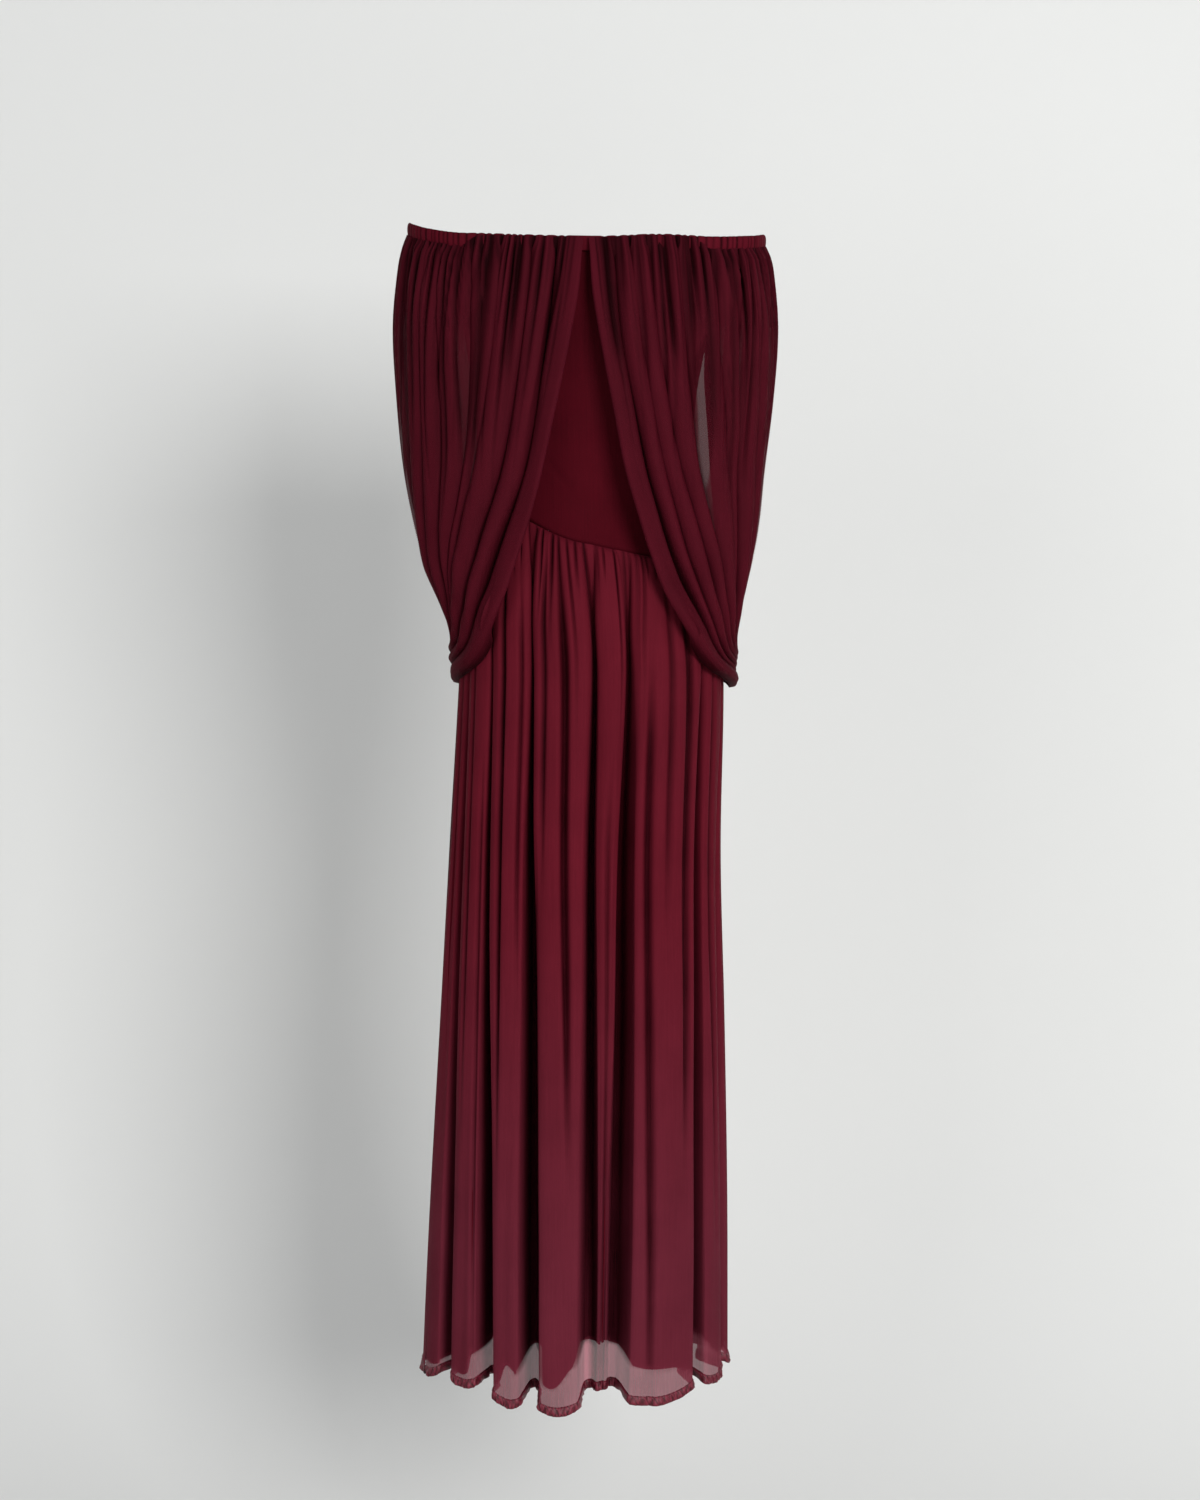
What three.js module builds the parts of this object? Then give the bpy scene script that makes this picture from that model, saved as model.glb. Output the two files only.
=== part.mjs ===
// Off-shoulder maxi dress of stretch mesh, in its worn form and hollow.
// Millimetres, +Z up. The garment's back faces -Y, its front +Y, and +X is the wearer's right.
// The origin is the middle of the neckline, level with the band on the arms.
import * as THREE from "three";

// Cloth thicknesses and seams
const MESH_WALL = 1.5;
const JERSEY_WALL = 1.8;
const BAND_WALL = 3;
const HEM_WALL = 2.2;
const SEAM_GAP = 0.3;
const HEM_GAP = 1.2;

// Lengths
const BAND_HEIGHT = 16;
const HEM_HEIGHT = 14;
const HEM_LIFT_IN_VALLEYS = 14;
const LINING_SHORTER_BY = 54;

// The exponent of sine and cosine that makes a section slightly squarer than an ellipse
const SQUARENESS = 0.87;

// Fold counts and how finely each fold is cut
const SKIRT_STEPS_PER_FOLD = 6;
const BODICE_STEPS_PER_FOLD = 3;
const DRAPE_FOLDS = 7;
const DRAPE_STEPS_PER_FOLD = 4;
const BAND_COLUMNS = 48;

// The bodice joins the band within this angle of the centre back and front, and dips under the arm beyond it.
// It leans to the band there, which fades out between two angles and over a share of its height.
const BODICE_JOIN_ANGLE = 40;
const BODICE_DIP_ANGLE = 72;
const UNDERARM_Z = -112;
const LEAN_FULL_ANGLE = 35;
const LEAN_END_ANGLE = 60;
const LEAN_SHARE = 0.25;

// How the skirt's folds deepen from the waist seam down, how flat their ridges are, and the share of the height
// over which their sides close up
const FOLD_GROWTH = 2.2;
const RIDGE_FLATNESS = 0.7;
const SLIT_REACH = 0.2;

// How tightly the drapes' folds close, how far their gathering follows the band, and how squarely they face back
const DRAPE_SLIT = 0.1;
const GATHER_REACH = 0.3;
const DRAPE_FACING = 1.6;

// How much of a fold's direction is sideways, and how squarely the folds of a side face outwards
const SIDEWAYS_SHARE = 0.5;
const FACING_POWER = 1.3;

// The lining lies inside the mesh by this much at the seam and from the hip down, and by more in the valleys
const LINING_INSET_TOP = 2.4;
const LINING_INSET = 5;
const LINING_INSET_REACH = 0.16;
const LINING_VALLEY_INSET = 12;

// Horizontal sections. half is the half width, back and front the half depths, mid the x of the middle.
const BAND_SECTION = { half: 203, back: 100, front: 105, mid: 0 };

const TORSO = [
  { z: 10, half: 150, back: 95, front: 98, mid: 0 },
  { z: -110, half: 141, back: 98, front: 116, mid: 0 },
  { z: -200, half: 127, back: 94, front: 106, mid: 0 },
  { z: -330, half: 119, back: 90, front: 93, mid: 2 },
  { z: -400, half: 131, back: 104, front: 100, mid: 4 },
];

const SKIRT = [
  { z: -300, half: 117, back: 89, front: 93, mid: 2 },
  { z: -335, half: 120, back: 92, front: 94, mid: 2 },
  { z: -390, half: 132, back: 107, front: 103, mid: 6 },
  { z: -450, half: 142, back: 121, front: 113, mid: 9 },
  { z: -520, half: 148, back: 127, front: 119, mid: 11 },
  { z: -715, half: 156, back: 133, front: 128, mid: 6 },
  { z: -890, half: 164, back: 139, front: 135, mid: 5 },
  { z: -1120, half: 172, back: 146, front: 143, mid: 3 },
  { z: -1330, half: 178, back: 152, front: 150, mid: 1 },
];

const CAPE = [
  { z: 20, half: 203, back: 100, front: 105, mid: 0 },
  { z: -20, half: 203, back: 100, front: 105, mid: 0 },
  { z: -50, half: 207, back: 102, front: 108, mid: 0 },
  { z: -120, half: 212, back: 110, front: 124, mid: 0 },
  { z: -200, half: 208, back: 114, front: 122, mid: 0 },
  { z: -280, half: 201, back: 116, front: 118, mid: 0 },
  { z: -340, half: 195, back: 118, front: 118, mid: 3 },
  { z: -390, half: 187, back: 122, front: 122, mid: 6 },
  { z: -440, half: 176, back: 130, front: 126, mid: 11 },
  { z: -485, half: 162, back: 136, front: 130, mid: 14 },
  { z: -535, half: 158, back: 139, front: 132, mid: 15 },
];

// Height of the band's top edge and of the slanting waist seam, by angle round the body from the centre back
const NECKLINE = [
  { angle: -180, z: -36 },
  { angle: -140, z: -28 },
  { angle: -105, z: -3 },
  { angle: -88, z: 3 },
  { angle: -62, z: -14 },
  { angle: -40, z: -23 },
  { angle: 0, z: -29 },
  { angle: 20, z: -25 },
  { angle: 40, z: -24 },
  { angle: 65, z: -17 },
  { angle: 88, z: -9 },
  { angle: 105, z: -12 },
  { angle: 140, z: -28 },
  { angle: 180, z: -36 },
];

const WAIST_SEAM = [
  { angle: -180, z: -352 },
  { angle: -110, z: -322 },
  { angle: -70, z: -320 },
  { angle: -36, z: -337 },
  { angle: -3, z: -367 },
  { angle: 33, z: -383 },
  { angle: 80, z: -390 },
  { angle: 125, z: -382 },
  { angle: 180, z: -352 },
];

const HEM = [
  { angle: -180, z: -1312 },
  { angle: -120, z: -1308 },
  { angle: -65, z: -1309 },
  { angle: -38, z: -1310 },
  { angle: -20, z: -1325 },
  { angle: -3, z: -1330 },
  { angle: 16, z: -1325 },
  { angle: 44, z: -1316 },
  { angle: 65, z: -1312 },
  { angle: 120, z: -1303 },
  { angle: 180, z: -1312 },
];

// The skirt's main folds. Each starts in a valley at an angle, waist being near the hip and hem at the hem, and ends
// where the next one starts. depth is that valley's depth at the hem, slit how tightly the fold's two sides close on
// its valleys, and sunk how far its ridge lies inside the section.
const SKIRT_FOLDS = [
  { name: "left_side", waist: -98, hem: -88, depth: 40, slit: 0.1, sunk: 0 },
  { name: "back_left_outer", waist: -72, hem: -54, depth: 42, slit: 0.11, sunk: 3 },
  { name: "back_left_inner", waist: -50, hem: -31, depth: 50, slit: 0.11, sunk: 2 },
  { name: "back_centre", waist: -25, hem: -13, depth: 62, slit: 0.13, sunk: 0 },
  { name: "back_narrow", waist: 1, hem: 4, depth: 66, slit: 0.06, sunk: 20 },
  { name: "back_right_broad", waist: 13, hem: 12, depth: 62, slit: 0.12, sunk: 0 },
  { name: "back_right_outer", waist: 48, hem: 51, depth: 42, slit: 0.1, sunk: 4 },
  { name: "right_side", waist: 80, hem: 80, depth: 36, slit: 0.07, sunk: 0 },
  { name: "front_right_outer", waist: 108, hem: 111, depth: 40, slit: 0.1, sunk: 3 },
  { name: "front_right_inner", waist: 134, hem: 139, depth: 58, slit: 0.13, sunk: 0 },
  { name: "front_centre", waist: 163, hem: 166, depth: 62, slit: 0.12, sunk: 0 },
  { name: "front_narrow", waist: 186, hem: 191, depth: 64, slit: 0.09, sunk: 12 },
  { name: "front_left_inner", waist: 203, hem: 208, depth: 58, slit: 0.12, sunk: 0 },
  { name: "front_left_outer", waist: 233, hem: 240, depth: 46, slit: 0.11, sunk: 3 },
];
// The side seams lie on the ridges of two folds, so they are counted in half folds.
const LEFT_SEAM = 0.5;
const RIGHT_SEAM = 7.5;
const FULL_TURN = SKIRT_FOLDS.length;

// The two edges of a drape strip, from the neckline (at 0) to the turn under the arm (at 1).
// The inner edge starts at the centre, the outer edge borders the arm opening. height is the folds' height.
const DRAPE_PATH = [
  { at: 0, innerAngle: 0.5, innerZ: -46, outerAngle: 87, outerZ: -17, height: 3.5 },
  { at: 0.16, innerAngle: 2.4, innerZ: -120, outerAngle: 84, outerZ: -105, height: 9 },
  { at: 0.36, innerAngle: 7, innerZ: -225, outerAngle: 82, outerZ: -215, height: 12 },
  { at: 0.54, innerAngle: 13, innerZ: -320, outerAngle: 79, outerZ: -305, height: 13 },
  { at: 0.7, innerAngle: 23, innerZ: -400, outerAngle: 74, outerZ: -378, height: 13 },
  { at: 0.82, innerAngle: 37, innerZ: -462, outerAngle: 70, outerZ: -432, height: 12 },
  { at: 0.91, innerAngle: 55, innerZ: -504, outerAngle: 74, outerZ: -464, height: 9 },
  { at: 1, innerAngle: 90, innerZ: -526, outerAngle: 90, outerZ: -482, height: 6 },
];
const DRAPE_HALF_ROWS = [0, 0.08, 0.2, 0.37, 0.55, 0.71, 0.83, 0.93, 1];

// The rows of the fitted and the hanging panels, as shares of their height, and the gap at a side seam in folds
const BODICE_ROWS = [0, 0.05, 0.2, 0.38, 0.58, 0.8, 1];
const SKIRT_ROWS = [0, 0.07, 0.17, 0.35, 0.57, 0.8, 1];
const LINING_ROWS = [0, 0.2, 0.55, 1];
const PANEL_GAP = 0.006;

// The step in fold position and height share over which a normal is measured
const NORMAL_STEP = 0.04;

const rad = THREE.MathUtils.degToRad;
const lerp = THREE.MathUtils.lerp;
const smooth = (x) => THREE.MathUtils.smoothstep(x, 0, 1);

// A smooth curve through a table's rows: the value of column name where column key is x.
function along(table, key, name, x) {
  const last = table.length - 1;
  const rising = table[last][key] > table[0][key];
  let i = 0;
  while (i < last - 1 && (rising ? x > table[i + 1][key] : x < table[i + 1][key])) i += 1;
  const slope = (k) => {
    const a = table[Math.max(k - 1, 0)];
    const b = table[Math.min(k + 1, last)];
    return (b[name] - a[name]) / (b[key] - a[key]);
  };
  const [p, q] = [table[i], table[i + 1]];
  const span = q[key] - p[key];
  const s = THREE.MathUtils.clamp((x - p[key]) / span, 0, 1);
  const rise = slope(i) * span * (s - 2 * s * s + s * s * s);
  const fall = slope(i + 1) * span * (s * s * s - s * s);
  return lerp(p[name], q[name], s * s * (3 - 2 * s)) + rise + fall;
}

const sectionAt = (table, z) => ({
  half: along(table, "z", "half", z),
  back: along(table, "z", "back", z),
  front: along(table, "z", "front", z),
  mid: along(table, "z", "mid", z),
});

const power = (x) => Math.sign(x) * Math.abs(x) ** SQUARENESS;

// A point on a section at an angle from the centre back, at height z.
function onSection(section, angle, z) {
  const across = power(Math.sin(rad(angle)));
  const depth = power(Math.cos(rad(angle)));
  const reach = depth > 0 ? section.back : section.front;
  return new THREE.Vector3(section.mid + section.half * across, -reach * depth, z);
}

// Angles as the tables have them, from -180 to 180.
const turned = (angle) => THREE.MathUtils.euclideanModulo(angle + 180, 360) - 180;
const necklineZ = (angle) => along(NECKLINE, "angle", "z", turned(angle));
const seamZ = (angle) => along(WAIST_SEAM, "angle", "z", turned(angle));

// A closed wall of even thickness. point(i, j) is its middle surface over a grid of columns by rows, whose
// columns run anticlockwise seen from above and whose rows run down. A ring closes its columns on themselves.
function wall(point, columns, rows, thickness, ring = false) {
  const across = ring ? columns : columns + 1;
  const grid = [];
  for (let j = 0; j <= rows; j += 1) {
    for (let i = 0; i < across; i += 1) grid.push(point(i, j));
  }
  const at = (i, j) => grid[j * across + (ring ? (i + across) % across : i)];
  const positions = [];
  for (const side of [0.5, -0.5]) {
    for (let j = 0; j <= rows; j += 1) {
      for (let i = 0; i < across; i += 1) {
        const [west, east] = ring ? [i - 1, i + 1] : [Math.max(i - 1, 0), Math.min(i + 1, across - 1)];
        const alongU = at(east, j).clone().sub(at(west, j));
        const alongV = at(i, Math.min(j + 1, rows)).clone().sub(at(i, Math.max(j - 1, 0)));
        const normal = alongV.cross(alongU).normalize();
        positions.push(...at(i, j).clone().addScaledVector(normal, side * thickness).toArray());
      }
    }
  }
  const inner = across * (rows + 1);
  const id = (i, j, side) => side * inner + j * across + (ring ? i % across : i);
  const indices = [];
  const quad = (a, b, c, d) => indices.push(a, b, c, a, c, d);
  for (let j = 0; j < rows; j += 1) {
    for (let i = 0; i < columns; i += 1) {
      quad(id(i, j, 0), id(i, j + 1, 0), id(i + 1, j + 1, 0), id(i + 1, j, 0));
      quad(id(i, j, 1), id(i + 1, j, 1), id(i + 1, j + 1, 1), id(i, j + 1, 1));
    }
  }
  for (let i = 0; i < columns; i += 1) {
    quad(id(i, 0, 0), id(i + 1, 0, 0), id(i + 1, 0, 1), id(i, 0, 1));
    quad(id(i, rows, 0), id(i, rows, 1), id(i + 1, rows, 1), id(i + 1, rows, 0));
  }
  if (!ring) {
    for (let j = 0; j < rows; j += 1) {
      quad(id(0, j, 0), id(0, j, 1), id(0, j + 1, 1), id(0, j + 1, 0));
      quad(id(columns, j, 0), id(columns, j + 1, 0), id(columns, j + 1, 1), id(columns, j, 1));
    }
  }
  return new THREE.BufferGeometry()
    .setAttribute("position", new THREE.Float32BufferAttribute(positions, 3))
    .setIndex(indices);
}

// The band: one ring at an even height below the neckline's top edge.
function neckBand() {
  const point = (i, j) => {
    const angle = (360 * i) / BAND_COLUMNS;
    return onSection(BAND_SECTION, angle, necklineZ(angle) - BAND_HEIGHT * j);
  };
  return wall(point, BAND_COLUMNS, 1, BAND_WALL, true);
}

// How far an angle is from the centre back or the centre front, whichever is nearer.
const fromCentre = (angle) => 90 - Math.abs(90 - Math.abs(turned(angle)));

// The bodice's top edge lies behind the band, and dips under each arm.
function bodiceTopZ(angle) {
  const dip = smooth((fromCentre(angle) - BODICE_JOIN_ANGLE) / (BODICE_DIP_ANGLE - BODICE_JOIN_ANGLE));
  return lerp(necklineZ(angle) - BAND_HEIGHT / 2, UNDERARM_Z, dip);
}

// The y of the band's inner face at x, less the room that the bodice's wall needs behind it.
function behindBandY(x, front) {
  const share = Math.min(Math.abs((x - BAND_SECTION.mid) / BAND_SECTION.half), 1);
  const depth = (1 - share ** (2 / SQUARENESS)) ** (SQUARENESS / 2);
  const inset = (BAND_WALL + JERSEY_WALL) / 2 + 2 * SEAM_GAP;
  return front ? BAND_SECTION.front * depth - inset : inset - BAND_SECTION.back * depth;
}

function bodicePoint(angle, t) {
  const z = lerp(bodiceTopZ(angle), seamZ(angle) + 2 * SEAM_GAP, t);
  const point = onSection(sectionAt(TORSO, z), angle, z);
  const high = smooth(1 - (t - BODICE_ROWS[1]) / LEAN_SHARE);
  const central = smooth((LEAN_END_ANGLE - fromCentre(angle)) / (LEAN_END_ANGLE - LEAN_FULL_ANGLE));
  point.y = lerp(point.y, behindBandY(point.x, point.y > 0), high * central);
  return point;
}

// A bodice panel between two side seams. Its columns meet the skirt's at the waist.
function bodicePanel(first, last) {
  const columns = (last - first) * BODICE_STEPS_PER_FOLD;
  const point = (i, j) => {
    const u = lerp(first + PANEL_GAP, last - PANEL_GAP, i / columns);
    const k = Math.floor(u);
    return bodicePoint(lerp(foldStart(k, 0), foldStart(k + 1, 0), u - k), BODICE_ROWS[j]);
  };
  return wall(point, columns, BODICE_ROWS.length - 1, JERSEY_WALL);
}

// Row k of the fold table, which repeats round the body.
const foldRow = (k) => SKIRT_FOLDS[THREE.MathUtils.euclideanModulo(k, FULL_TURN)];

// The angle where skirt fold k starts, at height share t.
function foldStart(k, t) {
  return 360 * Math.floor(k / FULL_TURN) + lerp(foldRow(k).waist, foldRow(k).hem, t);
}

// The height of a fold across it, from 0 in its valleys to 1 on its broad ridge.
const ridgeAt = (p) => ((1 - Math.cos(2 * Math.PI * p)) / 2) ** RIDGE_FLATNESS;

// How far the folds have opened at height share t.
const growthAt = (t) => 1 - (1 - Math.min(t, 1)) ** FOLD_GROWTH;

// The height of the hem at fold position u, higher in the valleys than on the ridges.
function hemZ(u) {
  const k = Math.floor(u);
  const angle = lerp(foldStart(k, 1), foldStart(k + 1, 1), u - k);
  return along(HEM, "angle", "z", turned(angle)) + HEM_LIFT_IN_VALLEYS * (1 - ridgeAt(u));
}

// A point of the skirt moved level into the body. The folds face more to the back and front than to the sides.
function moveInwards(point, section, distance) {
  const x = (point.x - section.mid) / section.half;
  const y = point.y / (point.y > 0 ? section.front : section.back);
  const side = (-SIDEWAYS_SHARE * Math.sign(x) * Math.abs(x) ** FACING_POWER) / section.half;
  const deep = (-Math.sign(y) * Math.abs(y) ** FACING_POWER) / section.back;
  return point.addScaledVector(new THREE.Vector3(side, deep, 0).normalize(), distance);
}

// The skirt's cloth with its main folds. t is 0 at the waist seam and 1 at the hem.
function skirtSurface(u, t) {
  const k = Math.floor(u);
  const p = u - k;
  const closing = foldRow(k).slit * smooth(t / SLIT_REACH) * Math.sin(2 * Math.PI * p);
  const angle = lerp(foldStart(k, t), foldStart(k + 1, t), p - closing);
  const z = lerp(seamZ(angle) - SEAM_GAP / 2, hemZ(u), t);
  const section = sectionAt(SKIRT, z);
  const valley = lerp(foldRow(k).depth, foldRow(k + 1).depth, p);
  const inset = lerp(valley, foldRow(k).sunk, ridgeAt(p));
  return moveInwards(onSection(section, angle, z), section, inset * growthAt(t));
}

// The same cloth moved inwards along its own level normal, and by more in the valleys.
function insideSkirt(u, t, inset, valleyInset) {
  const middle = THREE.MathUtils.clamp(t, NORMAL_STEP, 1 - NORMAL_STEP);
  const alongU = skirtSurface(u + NORMAL_STEP, middle).sub(skirtSurface(u - NORMAL_STEP, middle));
  const alongT = skirtSurface(u, middle + NORMAL_STEP).sub(skirtSurface(u, middle - NORMAL_STEP));
  const normal = alongU.cross(alongT).setZ(0).normalize();
  const point = skirtSurface(u, t).addScaledVector(normal, inset);
  return moveInwards(point, sectionAt(SKIRT, point.z), valleyInset * growthAt(t) * (1 - ridgeAt(u)) ** 3);
}

// The share of the skirt's length at a height above its hem, at fold position u.
function shareAboveHem(u, height) {
  const k = Math.floor(u);
  const top = seamZ(lerp(foldStart(k, 0), foldStart(k + 1, 0), u - k));
  return 1 - height / (top - hemZ(u));
}

// A skirt, lining or hem panel between two side seams. pointAt gives the cloth at fold position u in row j.
function skirtPanel(first, last, rows, pointAt, thickness) {
  const columns = (last - first) * SKIRT_STEPS_PER_FOLD;
  const point = (i, j) => pointAt(lerp(first + PANEL_GAP, last - PANEL_GAP, i / columns), j);
  return wall(point, columns, rows, thickness);
}

const skirtPoint = (u, j) => skirtSurface(u, SKIRT_ROWS[j] * shareAboveHem(u, HEM_HEIGHT));
const hemPoint = (u, j) => skirtSurface(u, shareAboveHem(u, (HEM_HEIGHT - HEM_GAP) * (1 - j)));

function liningPoint(u, j) {
  const t = LINING_ROWS[j] * shareAboveHem(u, LINING_SHORTER_BY);
  const inset = lerp(LINING_INSET_TOP, LINING_INSET, smooth(t / LINING_INSET_REACH));
  return insideSkirt(u, t, inset, LINING_VALLEY_INSET);
}

// A point of a drape strip. u runs from the inner edge to the outer edge, v from the back neckline (0) to the turn
// under the arm (1) and up to the front neckline (2). side is 1 for the wearer's right and -1 for the left.
function drapePoint(u, v, side) {
  const at = v <= 1 ? v : 2 - v;
  const column = (name) => along(DRAPE_PATH, "at", name, at);
  const p = (u * DRAPE_FOLDS) % 1;
  const closing = (DRAPE_SLIT / DRAPE_FOLDS) * Math.sin(2 * Math.PI * p);
  const across = u - closing;
  let angle = lerp(column("innerAngle"), column("outerAngle"), across);
  if (v > 1) angle = 180 - angle;
  const topShare = Math.max(0, 1 - at / GATHER_REACH) ** 2;
  const straight = lerp(column("innerZ"), column("outerZ"), across);
  const straightTop = lerp(DRAPE_PATH[0].innerZ, DRAPE_PATH[0].outerZ, across);
  const underBand = necklineZ(side * angle) - BAND_HEIGHT - 3 * SEAM_GAP;
  const z = straight + (underBand - straightTop) * topShare;
  const section = sectionAt(CAPE, z);
  const point = onSection(section, angle, z);
  point.x = section.mid + side * (point.x - section.mid);
  const outwards = new THREE.Vector3(point.x - section.mid, point.y * DRAPE_FACING, 0).normalize();
  return point.addScaledVector(outwards, column("height") * ridgeAt(p));
}

function drape(side) {
  const half = DRAPE_HALF_ROWS;
  const rowsAt = [...half, ...half.slice(0, -1).reverse().map((at) => 2 - at)];
  const columns = DRAPE_FOLDS * DRAPE_STEPS_PER_FOLD;
  const point = (i, j) => {
    const across = side > 0 ? i / columns : 1 - i / columns;
    return drapePoint(across, rowsAt[j], side);
  };
  return wall(point, columns, rowsAt.length - 1, MESH_WALL);
}

// Finishes
const finish = (name, color, roughness) =>
  new THREE.MeshStandardMaterial({ name, color, roughness, metalness: 0, side: THREE.DoubleSide });
const mesh = finish("mesh", 0x5a1626, 0.62);
const jersey = finish("jersey", 0x4e0f1c, 0.55);
const casing = finish("casing", 0x571323, 0.6);

const dress = new THREE.Group();

function add(name, geometry, material) {
  const piece = new THREE.Mesh(geometry, material);
  piece.name = name;
  dress.add(piece);
}

add("neck_band", neckBand(), casing);
add("drape_left", drape(-1), mesh);
add("drape_right", drape(1), mesh);

for (const [side, first, last] of [
  ["back", LEFT_SEAM, RIGHT_SEAM],
  ["front", RIGHT_SEAM, LEFT_SEAM + FULL_TURN],
]) {
  add(`bodice_${side}`, bodicePanel(first, last), jersey);
  add(`skirt_${side}`, skirtPanel(first, last, SKIRT_ROWS.length - 1, skirtPoint, MESH_WALL), mesh);
  add(`lining_${side}`, skirtPanel(first, last, LINING_ROWS.length - 1, liningPoint, JERSEY_WALL), jersey);
  add(`hem_${side}`, skirtPanel(first, last, 1, hemPoint, HEM_WALL), mesh);
}

export default dress;
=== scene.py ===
"""Off-shoulder maxi dress of stretch mesh, hollow and in its worn form, seen from behind.

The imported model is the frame. Each sub-assembly is a class that builds its cloth as a thin shell on the
panels' form, adds the gathers, folds and creases that the coarse panels leave out, and dresses it.

Sizes are millimetres where a name says nothing else, and meshes are made in metres. +Z is up, the garment's
back faces -Y, its front +Y, and +X is the wearer's right. Angles run round the body from the centre back.
"""
import logging
import math
from dataclasses import dataclass, field
from enum import Enum
from typing import Sequence, Union

import bpy
import numpy as np
from mathutils import Matrix, Vector


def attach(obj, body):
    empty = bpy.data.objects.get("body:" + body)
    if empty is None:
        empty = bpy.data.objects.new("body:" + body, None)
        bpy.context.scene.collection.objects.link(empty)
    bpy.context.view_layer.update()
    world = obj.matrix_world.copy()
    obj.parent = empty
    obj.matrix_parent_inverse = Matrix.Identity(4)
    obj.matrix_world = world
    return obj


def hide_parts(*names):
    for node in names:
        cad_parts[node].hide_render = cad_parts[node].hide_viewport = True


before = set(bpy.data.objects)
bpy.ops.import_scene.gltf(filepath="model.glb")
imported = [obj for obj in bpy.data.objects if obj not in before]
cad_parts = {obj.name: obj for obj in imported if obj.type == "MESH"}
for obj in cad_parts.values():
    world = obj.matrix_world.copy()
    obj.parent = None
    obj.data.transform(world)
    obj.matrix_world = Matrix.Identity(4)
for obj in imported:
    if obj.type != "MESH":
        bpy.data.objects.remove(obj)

log = logging.getLogger("dress")

Array = np.ndarray
Colour = tuple[float, float, float]
Place = tuple[float, float, float]

MM = 0.001
FULL_CIRCLE = 360.0
ROOT = "root"


class Side(Enum):
    """A side of the wearer, with its sign along X."""

    LEFT = -1
    RIGHT = 1


class Half(Enum):
    """The panels that lie between the side seams, with the fold positions of those seams."""

    BACK = (0.5, 7.5)
    FRONT = (7.5, 14.5)


class Hold(Enum):
    """How a sheet of cloth is held."""

    GATHERED = "gathered"
    STRETCHED = "stretched"
    HUNG = "hung"


def smooth(x: Array) -> Array:
    """Rises smoothly from 0 at 0 to 1 at 1."""
    x = np.clip(x, 0.0, 1.0)
    return x * x * (3.0 - 2.0 * x)


def ramp(x: Array, start: Array | float, end: Array | float) -> Array:
    """Rises smoothly from 0 at the start to 1 at the end."""
    return smooth((x - start) / (end - start))


def bell(x: Array, centre: Array | float, width: float) -> Array:
    """A round bump of height 1 at a centre."""
    return np.exp(-(((x - centre) / width) ** 2))


def mix(a: Array, b: Array, share: Array) -> Array:
    """The value at a share of the way from a to b."""
    return a + (b - a) * share


def unit(vectors: Array) -> Array:
    """The vectors at length 1."""
    return vectors / np.maximum(np.linalg.norm(vectors, axis=-1, keepdims=True), 1e-12)


def signed_power(x: Array, exponent: float) -> Array:
    """A power of a number's size, with the number's sign."""
    return np.sign(x) * np.abs(x) ** exponent


def distances(line: Array) -> Array:
    """How far along a line of points each of them is."""
    return np.concatenate([[0.0], np.cumsum(np.linalg.norm(np.diff(line, axis=0), axis=-1))])


def quads(grid: Array) -> Array:
    """The four corners of each cell of a grid."""
    return np.stack([grid[:-1, :-1], grid[1:, :-1], grid[1:, 1:], grid[:-1, 1:]], 2)


def placed(name: str, data: bpy.types.ID) -> bpy.types.Object:
    """Puts an object with this data in the scene.

    Args:
        name: the object's name.
        data: its mesh, camera or light.

    Returns:
        The object, at the origin.
    """
    made = bpy.data.objects.new(name, data)
    bpy.context.scene.collection.objects.link(made)
    return made


class Profile:
    """A short table of named columns, read by a smooth curve through its rows."""

    def __init__(self, columns: str, *rows: tuple[float, ...]) -> None:
        """Keeps the rows in rising order of the first column.

        Args:
            columns: the columns' names, the key's first, with spaces between them.
            rows: a row of numbers for each key.
        """
        table = np.array(sorted(rows), float)
        self.keys = table[:, 0]
        self.values = dict(zip(columns.split(), table.T))

    def at(self, name: str, x: Array) -> Array:
        """Reads a column.

        Args:
            name: the column.
            x: the keys to read it at; beyond the table its end rows hold.

        Returns:
            The column's values there.
        """
        keys, column = self.keys, self.values[name]
        slope = np.empty_like(column)
        slope[1:-1] = (column[2:] - column[:-2]) / (keys[2:] - keys[:-2])
        slope[0] = (column[1] - column[0]) / (keys[1] - keys[0])
        slope[-1] = (column[-1] - column[-2]) / (keys[-1] - keys[-2])
        i = np.clip(np.searchsorted(keys, x, side="right") - 1, 0, len(keys) - 2)
        span = keys[i + 1] - keys[i]
        s = np.clip((x - keys[i]) / span, 0.0, 1.0)
        curve = mix(column[i], column[i + 1], s * s * (3.0 - 2.0 * s))
        curve = curve + slope[i] * span * (s - 2.0 * s**2 + s**3)
        return curve + slope[i + 1] * span * (s**3 - s**2)

    def turned(self, name: str, angle: Array) -> Array:
        """Reads a column at an angle that may be beyond half a turn."""
        return self.at(name, np.mod(angle + 180.0, FULL_CIRCLE) - 180.0)


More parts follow.
